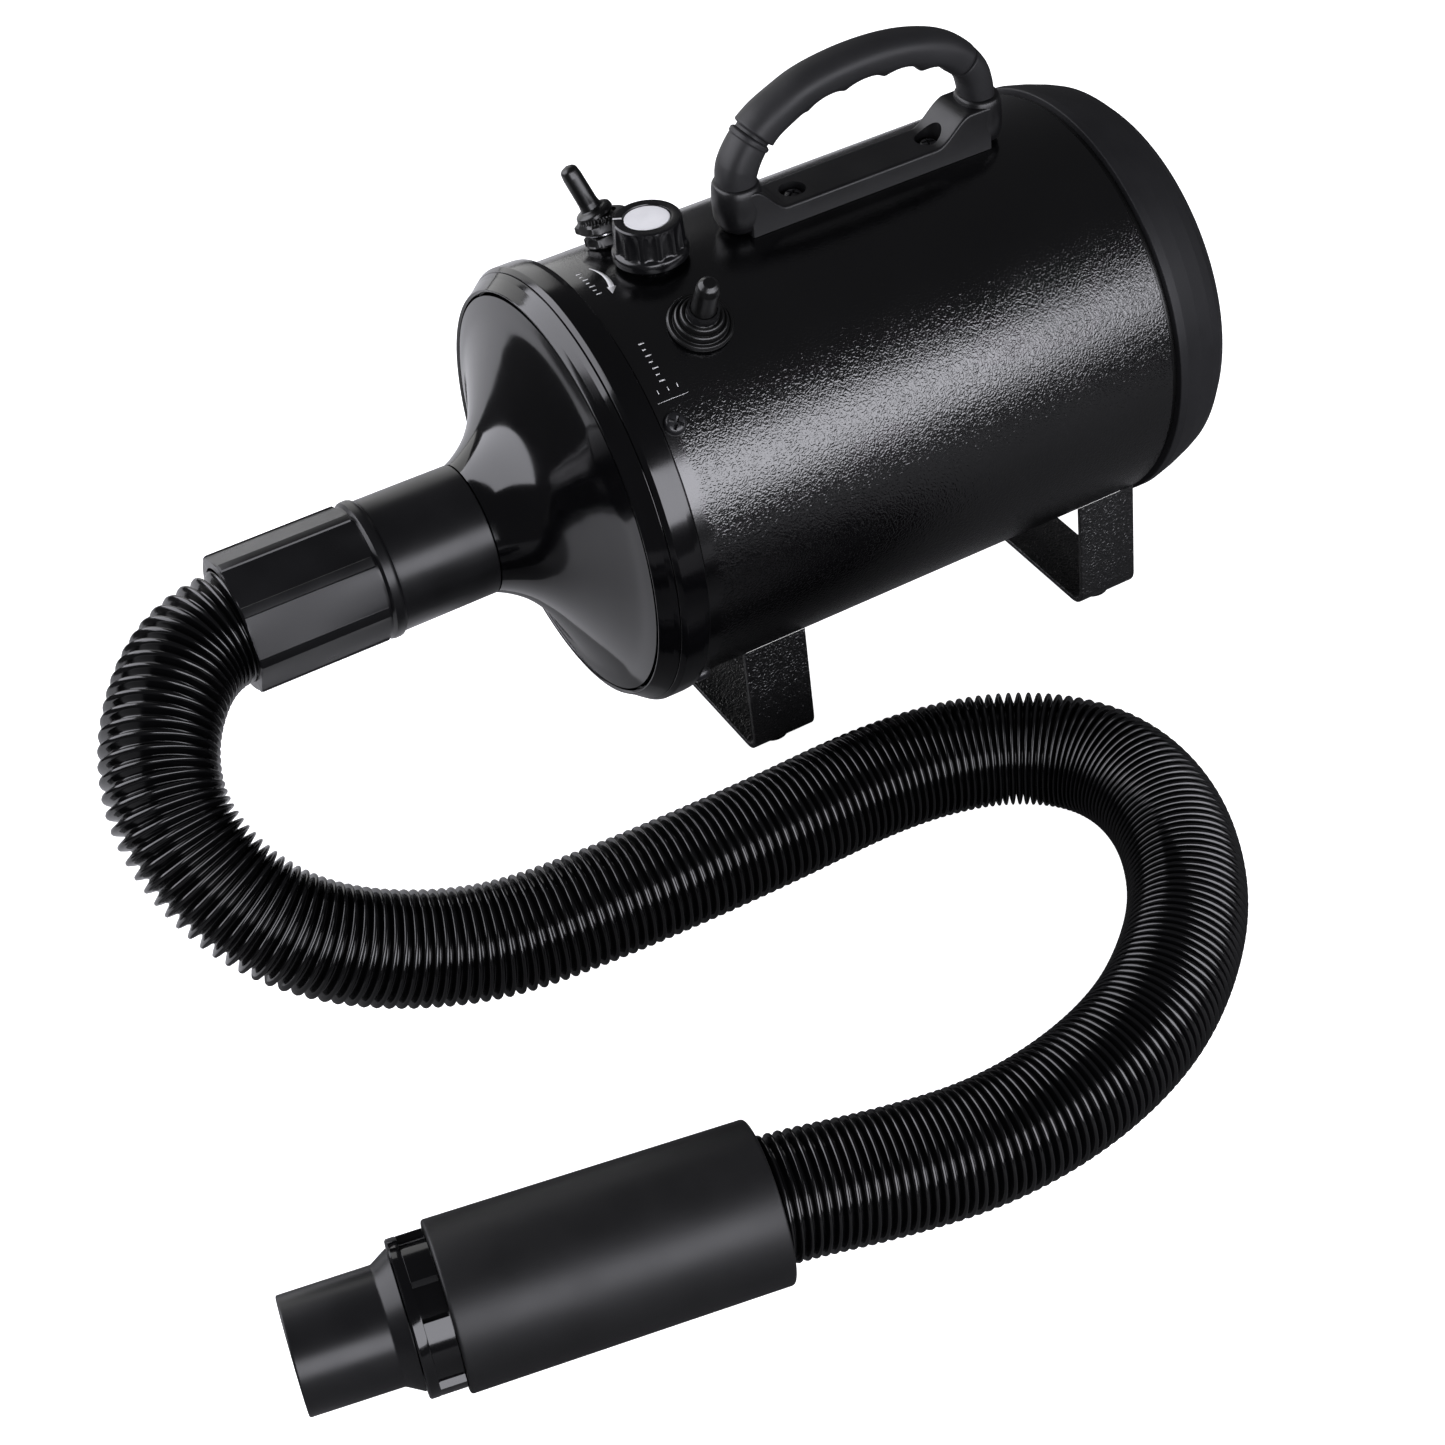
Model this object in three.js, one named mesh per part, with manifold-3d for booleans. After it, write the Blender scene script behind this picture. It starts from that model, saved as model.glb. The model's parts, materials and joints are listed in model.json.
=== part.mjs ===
// Pet dryer: a horizontal barrel blower on two strip feet, with a carrying handle, a speed knob, two
// booted toggle switches and a corrugated hose that ends in a foam grip and a nozzle.
// Millimetres, +Z up. The barrel's axis runs along Y with the nose towards -Y. The floor is z = 0.

import * as THREE from "three";
import { mergeVertices } from "three/addons/utils/BufferGeometryUtils.js";
import Module from "manifold-3d";

const wasm = await Module();
wasm.setup();

// Driving dimensions
const AXIS_HEIGHT = 110;
const GAP = 0.3;
const SHEET = 2;
const SHELL = { radius: 80, front: -76, rear: 121.7 };
const NOSE_TIP = -128;
const SPIGOT = { radius: 22, end: -158 };
const COVER_END = 158;
const ROUND = 48;
const INNER_ROUND = 20;
const SMALL_ROUND = 14;
const SIDE_SCREW = { y: -70.8, azimuths: [47, 137, 227, 317], head: 4.2, shank: 1.7 };
const KNOB = { y: -44.6, skirt: 14.1, grip: 12.9, disc: 8.4, base: 193.4, top: 207, turn: 31 };
const HEAT_SWITCH = {
  azimuth: 26, y: -46, lean: 0, pivot: 80, bushingTop: 90, tip: 105.8, sleeve: 4.3,
  boot: [[6.1, 80.6], [12, 80.6], [12, 83], [8.4, 85.4], [7.6, 90.6], [6.1, 90.6]],
};
const POWER_SWITCH = {
  azimuth: -19, y: -50, lean: 15, pivot: 84, bushingTop: 91, tip: 113, sleeve: 3.4,
  boot: [[6.1, 86], [9.6, 86], [9.6, 89.2], [8.3, 89.8], [8.1, 91.6], [6.1, 91.6]],
};
const POWER_NUT = { radius: 8.2, from: 80.6, to: 84.3 };
const POWER_WASHER = { radius: 7.6, from: 84.6, to: 85.6 };
const RAIL = { front: -16, rear: 98, halfWidth: 10, top: 197, screws: [13, 70], pocketFloor: 193 };
const HANDLE_SECTION = { halfWidth: 8.4, halfThickness: 6.5, corner: 5.4 };
const FRONT_FOOT = { from: -52, to: -26 };
const REAR_FOOT = { from: 97.5, to: 122.5 };
const FOOT = { topX: 53, bottomX: 54.5, topZ: 60, bend: 7, barBottom: 3, bumperX: 45, bumper: 6.5 };
const GLAND = { azimuth: -125, y: 112, bore: 3.6 };
const HOSE = { radius: 20.5, wall: 2, sides: 8, steps: 42 };
const SLEEVE = { radius: 27, length: 104.4 };
const NOZZLE_TIP = 151.8;
const FAN = { radius: 60, blades: 9, shaft: 4 };

// Hose centre line from the cuff's end, down to the floor and round to the grip sleeve
const HOSE_ROUTE = [
  [0, -220.8, 110], [0.8, -229, 109.6], [4.5, -238, 108.6], [10.5, -246, 107], [17.5, -252.3, 105],
  [27.5, -260.6, 100], [39, -266.6, 93], [49, -269.2, 85], [58.5, -268.3, 76], [73, -261.3, 61.5],
  [85, -249.1, 48.5], [92.5, -233.2, 37.5], [98, -214.8, 29], [103.5, -193, 23], [106.5, -176, 20.8],
  [109, -152.9, 20.6], [111, -114, 20.6], [111.6, -74.8, 20.6], [111.3, -32.7, 20.6],
  [115.2, -6, 20.6], [124, 16.5, 20.6], [141.5, 36, 20.6], [161.2, 43.2, 20.6], [185, 41.5, 20.6],
  [207, 33, 20.6], [227, 20, 20.6], [245.5, 0.8, 20.6], [259.5, -20, 20.6], [268.5, -43, 20.6],
  [273.4, -69, 20.6], [273.6, -96, 21], [268.6, -128, 23.5], [260.5, -163.9, 27],
];
const SLEEVE_START = [260.5, -164.2, 27];
const SLEEVE_TURN = -11;

// Materials
const finish = (color, roughness, metalness) =>
  new THREE.MeshStandardMaterial({ color, roughness, metalness });
const crinkleCoat = finish(0x101012, 0.5, 0.2);
const glossCoat = finish(0x0b0b0d, 0.15, 0.2);
const glossPlastic = finish(0x0c0c0e, 0.12, 0);
const satinPlastic = finish(0x18181a, 0.45, 0);
const softTouch = finish(0x222224, 0.7, 0);
const blackRubber = finish(0x141414, 0.75, 0);
const hosePlastic = finish(0x121214, 0.35, 0);
const foam = finish(0x2a2a2b, 0.9, 0);
const blackScrew = finish(0x1a1a1c, 0.35, 0.8);
const brightMetal = finish(0xc8c8cc, 0.25, 1);
const steel = finish(0x8a8c90, 0.4, 1);
const copper = finish(0xa8673a, 0.4, 1);
const mica = finish(0xb9a98c, 0.8, 0);
const board = finish(0x1f5a36, 0.6, 0);

const rad = THREE.MathUtils.degToRad;

// Shapes

// A turned piece about Y. The profile [radius, y] runs anticlockwise round the material.
function turned(profile, segments = ROUND) {
  const points = profile.map(([radius, y]) => new THREE.Vector2(radius, y));
  if (profile[0][0] > 0) points.push(points[0].clone());
  return new THREE.LatheGeometry(points, segments);
}

// The same about Z, with the profile as [radius, z]
const turnedUp = (profile, segments = SMALL_ROUND) => turned(profile, segments).rotateX(Math.PI / 2);

const ringProfile = (inner, outer, from, to) => [[inner, from], [outer, from], [outer, to], [inner, to]];
const discProfile = (radius, from, to) => [[0, from], [radius, from], [radius, to], [0, to]];

function block(x, y, z) {
  const size = [x[1] - x[0], y[1] - y[0], z[1] - z[0]];
  const middle = [(x[0] + x[1]) / 2, (y[0] + y[1]) / 2, (z[0] + z[1]) / 2];
  return new THREE.BoxGeometry(...size).translate(...middle);
}

// Turns a shape built along +Z to an azimuth of the barrel, from the top towards +X
const atAzimuth = (geometry, azimuth, y) => geometry.rotateY(rad(azimuth)).translate(0, y, 0);

function toSolid(geometry) {
  const plain = geometry.clone();
  plain.deleteAttribute("normal");
  plain.deleteAttribute("uv");
  const merged = mergeVertices(plain, 1e-4);
  const vertProperties = new Float32Array(merged.attributes.position.array);
  const triVerts = new Uint32Array(merged.index.array);
  return new wasm.Manifold(new wasm.Mesh({ numProp: 3, vertProperties, triVerts }));
}

function toGeometry(solid) {
  const mesh = solid.getMesh();
  const geometry = new THREE.BufferGeometry();
  geometry.setAttribute("position", new THREE.BufferAttribute(mesh.vertProperties, 3));
  geometry.setIndex(new THREE.BufferAttribute(mesh.triVerts, 1));
  geometry.computeVertexNormals();
  return geometry;
}

const cut = (body, tools) =>
  toGeometry(tools.reduce((solid, tool) => solid.subtract(toSolid(tool)), toSolid(body)));
const join = ([first, ...others]) =>
  toGeometry(others.reduce((solid, piece) => solid.add(toSolid(piece)), toSolid(first)));

function add(group, name, geometry, material) {
  const mesh = new THREE.Mesh(geometry, material);
  mesh.name = name;
  group.add(mesh);
  return mesh;
}

const sideHole = (radius, azimuth, y) =>
  atAzimuth(turnedUp(discProfile(radius, 60, 95), 12), azimuth, y);

// The barrel envelope, which everything that sits on the shell is cut to
const barrelEnvelope = () => turned(discProfile(SHELL.radius + GAP, SHELL.front, SHELL.rear + 3));

// Housing

function bodyShell() {
  const tube = turned(ringProfile(SHELL.radius - SHEET, SHELL.radius, SHELL.front, SHELL.rear));
  const holes = [
    sideHole(5, 0, KNOB.y),
    sideHole(6.2, HEAT_SWITCH.azimuth, HEAT_SWITCH.y),
    sideHole(6.2, POWER_SWITCH.azimuth, POWER_SWITCH.y),
    sideHole(6.3, GLAND.azimuth, GLAND.y),
    ...RAIL.screws.map((y) => sideHole(2.2, 0, y)),
    ...SIDE_SCREW.azimuths.map((azimuth) => sideHole(2.2, azimuth, SIDE_SCREW.y)),
  ];
  return cut(tube, holes);
}

function frontCollar() {
  const band = turned([
    [75.5, -88], [82, -88], [83.2, -86.4], [83.3, -80], [82.4, -77.6], [80.8, -76.3], [77.6, -76.3],
    [77.6, -64], [75.5, -64],
  ]);
  return cut(band, SIDE_SCREW.azimuths.map((azimuth) => sideHole(2.1, azimuth, SIDE_SCREW.y)));
}

const bezelRing = () => turned([
  [76.4, -94], [77.5, -94.6], [78.6, -92.4], [80.3, -90], [81.8, -88.3], [78.3, -88.3], [78.3, -90.3],
  [76.4, -90.3],
]);

// A trumpet: a curve from the rim to the spigot, with the wall's inner side offset from it
function noseCone() {
  const outline = new THREE.SplineCurve([
    [75.4, -94], [67.8, -96], [58, -100], [45.6, -106], [36.4, -112], [29.4, -119.5], [24.4, NOSE_TIP],
  ].map(([radius, y]) => new THREE.Vector2(radius, y)));
  const outer = [];
  const inner = [];
  for (const t of [0, 0.15, 0.3, 0.48, 0.72, 1]) {
    const point = outline.getPoint(t);
    const along = outline.getTangent(t);
    outer.push([point.x, point.y]);
    inner.push([point.x + along.y * SHEET, point.y - along.x * SHEET]);
  }
  const flange = [[78, -90], [76, -90]];
  const spigotBore = SPIGOT.radius - SHEET;
  const spigot = [[SPIGOT.radius, NOSE_TIP], [SPIGOT.radius, SPIGOT.end], [spigotBore, SPIGOT.end]];
  const loop = [...flange, ...outer, ...spigot, [spigotBore, NOSE_TIP + 2]];
  return turned([...loop, ...inner.slice(1, -1).reverse(), [74, -88.4], [78, -88.4]].reverse(), 40);
}

function rearCover() {
  const cap = turned([
    [0, 156], [38, 155], [68, 149.5], [73, 145.4], [75.2, 141.4], [79.2, 128], [79.2, 124.3],
    [81.3, 124.3], [81.3, 128], [77.3, 142], [75, 146.5], [70, 151.4], [40, 157], [0, COVER_END],
  ]);
  const slots = [];
  const slotCount = 18;
  for (let i = 0; i < slotCount; i += 1) {
    const slot = block([-2.6, 2.6], [144, 162], [24, 60]);
    slots.push(slot.rotateY((i * 2 * Math.PI) / slotCount));
  }
  return cut(cap, slots);
}

const rearSeal = () => turned(ringProfile(73, 78.6, SHELL.rear + GAP, 124), 36);
const airFilter = () => turned(discProfile(71, 128, 137), INNER_ROUND);
const sideScrew = () => turnedUp([
  [0, 72], [SIDE_SCREW.shank, 72], [SIDE_SCREW.shank, 80.4], [SIDE_SCREW.head, 80.4], [3.6, 82],
  [0, 82.6],
], 10);

function buildHousing(barrel) {
  add(barrel, "body_shell", bodyShell(), crinkleCoat);
  add(barrel, "front_collar", frontCollar(), glossCoat);
  add(barrel, "bezel_ring", bezelRing(), glossPlastic);
  add(barrel, "nose_cone", noseCone(), glossPlastic);
  add(barrel, "rear_seal", rearSeal(), blackRubber);
  add(barrel, "rear_cover", rearCover(), satinPlastic);
  add(barrel, "air_filter", airFilter(), foam);
  SIDE_SCREW.azimuths.forEach((azimuth, i) => {
    const screw = add(barrel, `side_screw_${i + 1}`, sideScrew(), blackScrew);
    screw.rotation.y = rad(azimuth);
    screw.position.y = SIDE_SCREW.y;
  });
}

// The mains lead's inlet: a screwed gland through the shell with a nut inside
function buildGland(barrel) {
  const gland = new THREE.Group();
  gland.rotation.y = rad(GLAND.azimuth);
  gland.position.y = GLAND.y;
  add(gland, "mains_gland", turnedUp([
    [GLAND.bore, 71], [5.8, 71], [5.8, 80.6], [10, 80.6], [10, 85], [8.4, 85.6], [7.4, 93],
    [GLAND.bore, 94],
  ]), satinPlastic);
  add(gland, "gland_nut", turnedUp(ringProfile(6.1, 8.8, 72.5, 77)), satinPlastic);
  barrel.add(gland);
}

// Feet: each a strip bent into a U under the barrel, with a rubber bumper at either end

function footStrip() {
  const { topX, bottomX, topZ, bend, barBottom } = FOOT;
  const inner = bend - SHEET;
  const barTop = barBottom + SHEET;
  const outline = new THREE.Shape();
  outline.moveTo(-topX - SHEET, topZ);
  outline.lineTo(-bottomX - SHEET, barBottom + bend);
  outline.absarc(-bottomX - SHEET + bend, barBottom + bend, bend, Math.PI, 1.5 * Math.PI);
  outline.absarc(bottomX + SHEET - bend, barBottom + bend, bend, 1.5 * Math.PI, 2 * Math.PI);
  outline.lineTo(topX + SHEET, topZ);
  outline.lineTo(topX, topZ);
  outline.lineTo(bottomX, barBottom + bend);
  outline.absarc(bottomX - inner, barTop + inner, inner, 0, -0.5 * Math.PI, true);
  outline.absarc(-bottomX + inner, barTop + inner, inner, -0.5 * Math.PI, -Math.PI, true);
  outline.lineTo(-topX, topZ);
  return outline;
}

function footBracket({ from, to }) {
  const depth = to - from;
  const strip = new THREE.ExtrudeGeometry(footStrip(), { depth, bevelEnabled: false, curveSegments: 5 });
  strip.rotateX(Math.PI / 2).translate(0, to, 0);
  return cut(strip, [barrelEnvelope().translate(0, 0, AXIS_HEIGHT)]);
}

function buildFeet(dryer) {
  const feet = { front: FRONT_FOOT, rear: REAR_FOOT };
  for (const [place, foot] of Object.entries(feet)) {
    add(dryer, `foot_bracket_${place}`, footBracket(foot), crinkleCoat);
    for (const [side, sign] of [["left", -1], ["right", 1]]) {
      const profile = discProfile(FOOT.bumper, 0, FOOT.barBottom - GAP);
      const bumper = add(dryer, `foot_bumper_${place}_${side}`, turnedUp(profile), blackRubber);
      bumper.position.set(sign * FOOT.bumperX, (foot.from + foot.to) / 2, 0);
    }
  }
}

// Handle: a rail screwed to the shell, two posts and the soft grip between them

function handleRail() {
  const side = new THREE.Shape();
  const { front, rear, top, halfWidth, pocketFloor } = RAIL;
  side.moveTo(front, 186);
  side.lineTo(rear, 186);
  side.lineTo(rear, 202);
  side.lineTo(rear - 5, 204);
  side.lineTo(84, 204);
  side.lineTo(76, top);
  side.lineTo(3, top);
  side.lineTo(-3, 203.5);
  side.lineTo(front + 4, 203.5);
  side.lineTo(front, 200);
  const bar = new THREE.ExtrudeGeometry(side, { depth: 2 * halfWidth, bevelEnabled: false });
  bar.rotateX(Math.PI / 2).rotateZ(Math.PI / 2).translate(-halfWidth, 0, 0);
  const pockets = RAIL.screws.flatMap((y) => [
    turnedUp(discProfile(5, pocketFloor, top + 9)).translate(0, y, 0),
    turnedUp(discProfile(2.2, 180, pocketFloor + 1), 8).translate(0, y, 0),
  ]);
  return cut(bar, [barrelEnvelope().translate(0, 0, AXIS_HEIGHT), ...pockets]);
}

const HANDLE_ARCH = new THREE.CatmullRomCurve3([
  [-9.2, 204.5], [-8.6, 212], [-4.6, 219.5], [2.2, 226.4], [10.7, 231], [20.8, 234.9], [41.2, 237.3],
  [61.6, 235.5], [77.8, 229.4], [88.2, 219], [91.4, 206.5],
].map(([y, z]) => new THREE.Vector3(0, y, z)));

function handleSection() {
  const { halfWidth, halfThickness, corner } = HANDLE_SECTION;
  const x = halfWidth - corner;
  const y = halfThickness - corner;
  const section = new THREE.Shape();
  section.absarc(x, y, corner, 0, 0.5 * Math.PI);
  section.absarc(-x, y, corner, 0.5 * Math.PI, Math.PI);
  section.absarc(-x, -y, corner, Math.PI, 1.5 * Math.PI);
  section.absarc(x, -y, corner, 1.5 * Math.PI, 2 * Math.PI);
  return section;
}

// One stretch of the arch, from and to being shares of its length
class ArchStretch extends THREE.Curve {
  constructor(from, to) {
    super();
    this.from = from;
    this.to = to;
  }

  getPoint(t) {
    return HANDLE_ARCH.getPointAt(this.from + (this.to - this.from) * t);
  }
}

function archPiece(from, to, steps) {
  const options = { steps, extrudePath: new ArchStretch(from, to), bevelEnabled: false, curveSegments: 2 };
  return new THREE.ExtrudeGeometry(handleSection(), options);
}

function buildHandle(dryer) {
  add(dryer, "handle_rail", handleRail(), softTouch);
  add(dryer, "handle_post_front", archPiece(0, 0.157, 4), softTouch);
  add(dryer, "handle_grip", archPiece(0.16, 0.86, 12), softTouch);
  add(dryer, "handle_post_rear", archPiece(0.863, 1, 3), softTouch);
  RAIL.screws.forEach((y, i) => {
    const screw = add(dryer, `handle_screw_${i + 1}`, turnedUp([
      [0, 182.5], [1.8, 182.5], [1.8, 193.4], [3.8, 193.4], [3.4, 195.4], [0, 195.9],
    ], 10), blackScrew);
    screw.position.y = y;
  });
}

// Controls

function buildKnob(dryer) {
  const control = new THREE.Group();
  control.position.y = KNOB.y;
  add(control, "pot_body", turnedUp([
    [3.4, 176], [9, 176], [9, 186.6], [4.6, 186.6], [4.6, 192.8], [3.4, 192.8],
  ]), steel);
  add(control, "pot_washer", turnedUp(ringProfile(5, 9, 190.4, 191.2)), brightMetal);
  add(control, "pot_nut", turnedUp(ringProfile(4.9, 6.6, 191.5, 193)), steel);
  add(control, "pot_shaft", turnedUp(discProfile(3, 178, 202)), steel);
  add(control, "speed_knob", turnedUp([
    [3.3, 195.4], [7.2, 195.4], [7.2, KNOB.base], [KNOB.skirt, KNOB.base], [KNOB.skirt, KNOB.base + 1.4],
    [KNOB.grip, KNOB.base + 3], [KNOB.grip - 0.5, KNOB.top - 0.6], [KNOB.grip - 1.2, KNOB.top],
    [KNOB.disc + 0.3, KNOB.top], [KNOB.disc + 0.3, KNOB.top - 1], [0, KNOB.top - 1], [0, 202.4],
    [3.3, 202.4],
  ], 20), glossPlastic);
  add(control, "knob_cap", turnedUp(discProfile(KNOB.disc, KNOB.top - 0.7, KNOB.top - 0.1), 20), brightMetal);
  const pointer = block([-0.5, 0.5], [-11.6, -9], [KNOB.top + 0.3, KNOB.top + 0.5]);
  add(control, "knob_pointer", pointer.rotateZ(-rad(KNOB.turn)), brightMetal);
  dryer.add(control);
}

// A toggle switch with a rubber boot, built along the local +Z that points out of the barrel
function buildToggle(barrel, prefix, spec) {
  const { azimuth, y, lean, pivot, bushingTop, tip, sleeve, boot } = spec;
  const place = new THREE.Group();
  place.rotation.y = rad(azimuth);
  place.position.y = y;
  const bushing = turnedUp([
    [0, 75], [5.8, 75], [5.8, bushingTop], [4.9, bushingTop], [4.9, pivot - 3.5], [0, pivot - 3.5],
  ]);
  const body = join([block([-6.5, 6.5], [-10, 10], [56, 75.5]), bushing]);
  add(place, `${prefix}_switch_body`, body, satinPlastic);
  add(place, `${prefix}_boot_nut`, turnedUp(boot), blackRubber);

  const stick = new THREE.Group();
  stick.position.z = pivot;
  stick.rotation.x = rad(lean);
  const length = tip - pivot;
  const bootFoot = boot.at(-1)[1] - pivot + 2;
  add(stick, `${prefix}_lever`, turnedUp([
    [0, -2.4], [1.7, -1.7], [2.4, 0], [1.7, 1.7], [1.5, 2.2], [1.5, length - 3], [0, length - 3],
  ], 10), steel);
  add(stick, `${prefix}_lever_sleeve`, turnedUp([
    [0, length - 2.6], [1.8, length - 2.6], [1.8, bootFoot], [sleeve, bootFoot], [sleeve, length - 2.2],
    [0.6 * sleeve, length - 0.5], [0, length],
  ], 12), blackRubber);
  place.add(stick);
  barrel.add(place);
  return place;
}

function buildSwitches(barrel) {
  buildToggle(barrel, "heat", HEAT_SWITCH);
  const power = buildToggle(barrel, "power", POWER_SWITCH);
  const ring = ({ radius, from, to }) => turnedUp(ringProfile(6.1, radius, from, to));
  add(power, "power_switch_nut", ring(POWER_NUT), blackRubber);
  add(power, "power_switch_washer", ring(POWER_WASHER), brightMetal);
}

// Air mover inside the barrel

function fanHousing() {
  return turned([
    [50, 46], [70, 46], [70, 96], [24, 96], [24, 94.5], [68.5, 94.5], [68.5, 47.5], [50, 47.5],
  ], INNER_ROUND);
}

function motorFrame() {
  const frame = turned([
    [32.4, 4], [34.6, 4], [34.6, 43.4], [69, 43.4], [69, 45.6], [12, 45.6], [12, 43.4], [32.4, 43.4],
  ], INNER_ROUND);
  const vents = [];
  for (let i = 0; i < 8; i += 1) {
    vents.push(turned(discProfile(5, 40, 50), 12).translate(0, 0, 43).rotateY((i * Math.PI) / 4));
  }
  return cut(frame, vents);
}

function impeller() {
  const disc = turned([[FAN.shaft + GAP, 54], [FAN.radius, 54], [FAN.radius, 56], [10, 56], [10, 84],
    [FAN.shaft + GAP, 84]], INNER_ROUND);
  const pieces = [disc];
  for (let i = 0; i < FAN.blades; i += 1) {
    const blade = block([-0.8, 0.8], [55.5, 76], [9, FAN.radius - 1]);
    pieces.push(blade.rotateY((i * 2 * Math.PI) / FAN.blades));
  }
  return join(pieces);
}

function heaterFrame() {
  const plate = () => block([-36, 36], [-66, -20], [-0.8, 0.8]);
  return join([plate(), plate().rotateY(Math.PI / 3), plate().rotateY(-Math.PI / 3)]);
}

const ringSeat = (from) => turned(ringProfile(70.3, 77.6, from, from + 8), INNER_ROUND);

function buildAirMover(barrel) {
  add(barrel, "fan_housing", fanHousing(), steel);
  add(barrel, "motor_frame", motorFrame(), steel);
  add(barrel, "motor_stator", turned(ringProfile(21, 32, 8, 38), INNER_ROUND), steel);
  const shaft = FAN.shaft;
  add(barrel, "motor_rotor", turned([
    [0, -4], [shaft, -4], [shaft, 8], [20, 8], [20, 38], [shaft, 38], [shaft, 92], [0, 92],
  ], INNER_ROUND), copper);
  add(barrel, "fan_impeller", impeller(), steel);
  add(barrel, "motor_mount_front", ringSeat(52), blackRubber);
  add(barrel, "motor_mount_rear", ringSeat(84), blackRubber);
  add(barrel, "bulkhead", turned(ringProfile(26, 77.6, 96.4, 98.4), INNER_ROUND), steel);
  add(barrel, "heater_frame", heaterFrame(), mica);
  add(barrel, "heater_coil", turned(ringProfile(38, 41, -60, -26), INNER_ROUND), steel);
  add(barrel, "thermal_cutout", turned(discProfile(7, -16, -9), SMALL_ROUND), steel);
  add(barrel, "control_board", block([-24, 24], [-62, -28], [44, 45.6]), board);
}

// Hose, grip and nozzle

const hoseCuff = () => turned([
  [20.9, -220.5], [25.2, -220.5], [25.2, -171], [25.8, -170], [25.8, -166.5], [24.6, -165.5], [24.4, -128.4],
  [SPIGOT.radius + GAP, -128.4], [SPIGOT.radius + GAP, -161], [20.9, -161],
], 40);

function hoseTube() {
  const section = new THREE.Shape();
  const bore = new THREE.Path();
  for (let i = 0; i < HOSE.sides; i += 1) {
    const angle = (i * 2 * Math.PI) / HOSE.sides;
    const [x, y] = [Math.cos(angle), Math.sin(angle)];
    const step = i === 0 ? "moveTo" : "lineTo";
    section[step](HOSE.radius * x, HOSE.radius * y);
    bore[step]((HOSE.radius - HOSE.wall) * x, (HOSE.radius - HOSE.wall) * y);
  }
  section.holes.push(bore);
  const route = new THREE.CatmullRomCurve3(HOSE_ROUTE.map((point) => new THREE.Vector3(...point)));
  return new THREE.ExtrudeGeometry(section, { steps: HOSE.steps, extrudePath: route, bevelEnabled: false });
}

function buildHose(dryer, barrel) {
  add(barrel, "hose_cuff", hoseCuff(), glossPlastic);
  add(dryer, "hose", hoseTube(), hosePlastic);
  const grip = new THREE.Group();
  grip.position.set(...SLEEVE_START);
  grip.rotation.z = rad(SLEEVE_TURN);
  const { radius, length } = SLEEVE;
  add(grip, "grip_sleeve", turned(ringProfile(21.5, radius, -length, -GAP), 24), foam);
  const ringFront = -length - 12;
  add(grip, "end_ring", turned([
    [17.5, ringFront], [24.7, ringFront], [24.7, -length - GAP], [21.2, -length - GAP], [21.2, -68],
    [17.5, -68],
  ], 24), glossPlastic);
  add(grip, "nozzle", turned([
    [16.6, -NOZZLE_TIP], [18.7, -NOZZLE_TIP], [18.8, ringFront - 5.6], [22, ringFront - GAP],
    [17.2, ringFront - GAP], [17.2, -96], [15.2, -96], [15.2, ringFront - 1], [16.6, ringFront - 6],
  ], 24), glossPlastic);
  dryer.add(grip);
}

const dryer = new THREE.Group();
const barrel = new THREE.Group();
barrel.position.z = AXIS_HEIGHT;
dryer.add(barrel);
buildHousing(barrel);
buildGland(barrel);
buildFeet(dryer);
buildHandle(dryer);
buildKnob(dryer);
buildSwitches(barrel);
buildAirMover(barrel);
buildHose(dryer, barrel);

export default dryer;
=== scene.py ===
"""Looks of the pet dryer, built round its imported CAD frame. Metres, +Z up, the barrel along Y."""

import json
import math

import bpy
import numpy as np
from mathutils import Matrix, Vector


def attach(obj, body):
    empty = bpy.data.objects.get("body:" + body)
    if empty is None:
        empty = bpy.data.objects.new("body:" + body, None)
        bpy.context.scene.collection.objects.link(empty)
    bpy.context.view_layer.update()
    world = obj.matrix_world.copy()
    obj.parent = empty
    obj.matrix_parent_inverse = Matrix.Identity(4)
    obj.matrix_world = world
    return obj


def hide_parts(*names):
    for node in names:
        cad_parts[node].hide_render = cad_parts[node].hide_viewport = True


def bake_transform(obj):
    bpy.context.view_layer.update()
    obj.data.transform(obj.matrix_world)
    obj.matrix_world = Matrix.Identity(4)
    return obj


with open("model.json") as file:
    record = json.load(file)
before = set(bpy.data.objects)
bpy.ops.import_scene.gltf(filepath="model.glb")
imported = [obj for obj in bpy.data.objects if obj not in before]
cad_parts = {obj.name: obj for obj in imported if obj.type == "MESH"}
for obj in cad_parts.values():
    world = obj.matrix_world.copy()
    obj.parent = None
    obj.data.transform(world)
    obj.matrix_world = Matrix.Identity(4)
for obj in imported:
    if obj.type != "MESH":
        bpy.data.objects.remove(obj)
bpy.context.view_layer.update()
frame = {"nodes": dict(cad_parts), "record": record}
scene = bpy.context.scene
MM = 0.001
rad = math.radians

# ------------------------------ camera and driving dimensions

# Angles in degrees, the distance in metres, the lens in millimetres
CAMERA = {"azimuth": 64.495, "elevation": 41.007, "roll": -6.532, "distance": 1.0616, "lens": 68.69}
CAMERA_TARGET = Vector((0.0295, -0.0519, 0.0))

# Millimetres from here on, as in every outline and station below
BARREL_HEIGHT = 110
SHELL_RADIUS = 80
KNOB_Y = -44.6
RAIL_SCREWS_Y = (13, 70)
AXIS_LIMIT = 1e-9

BARREL = Vector((0, 0, BARREL_HEIGHT * MM))
HOSE = {"radius": 20.5 * MM, "valley": 16.6 * MM, "bore": 15.4 * MM}

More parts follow.
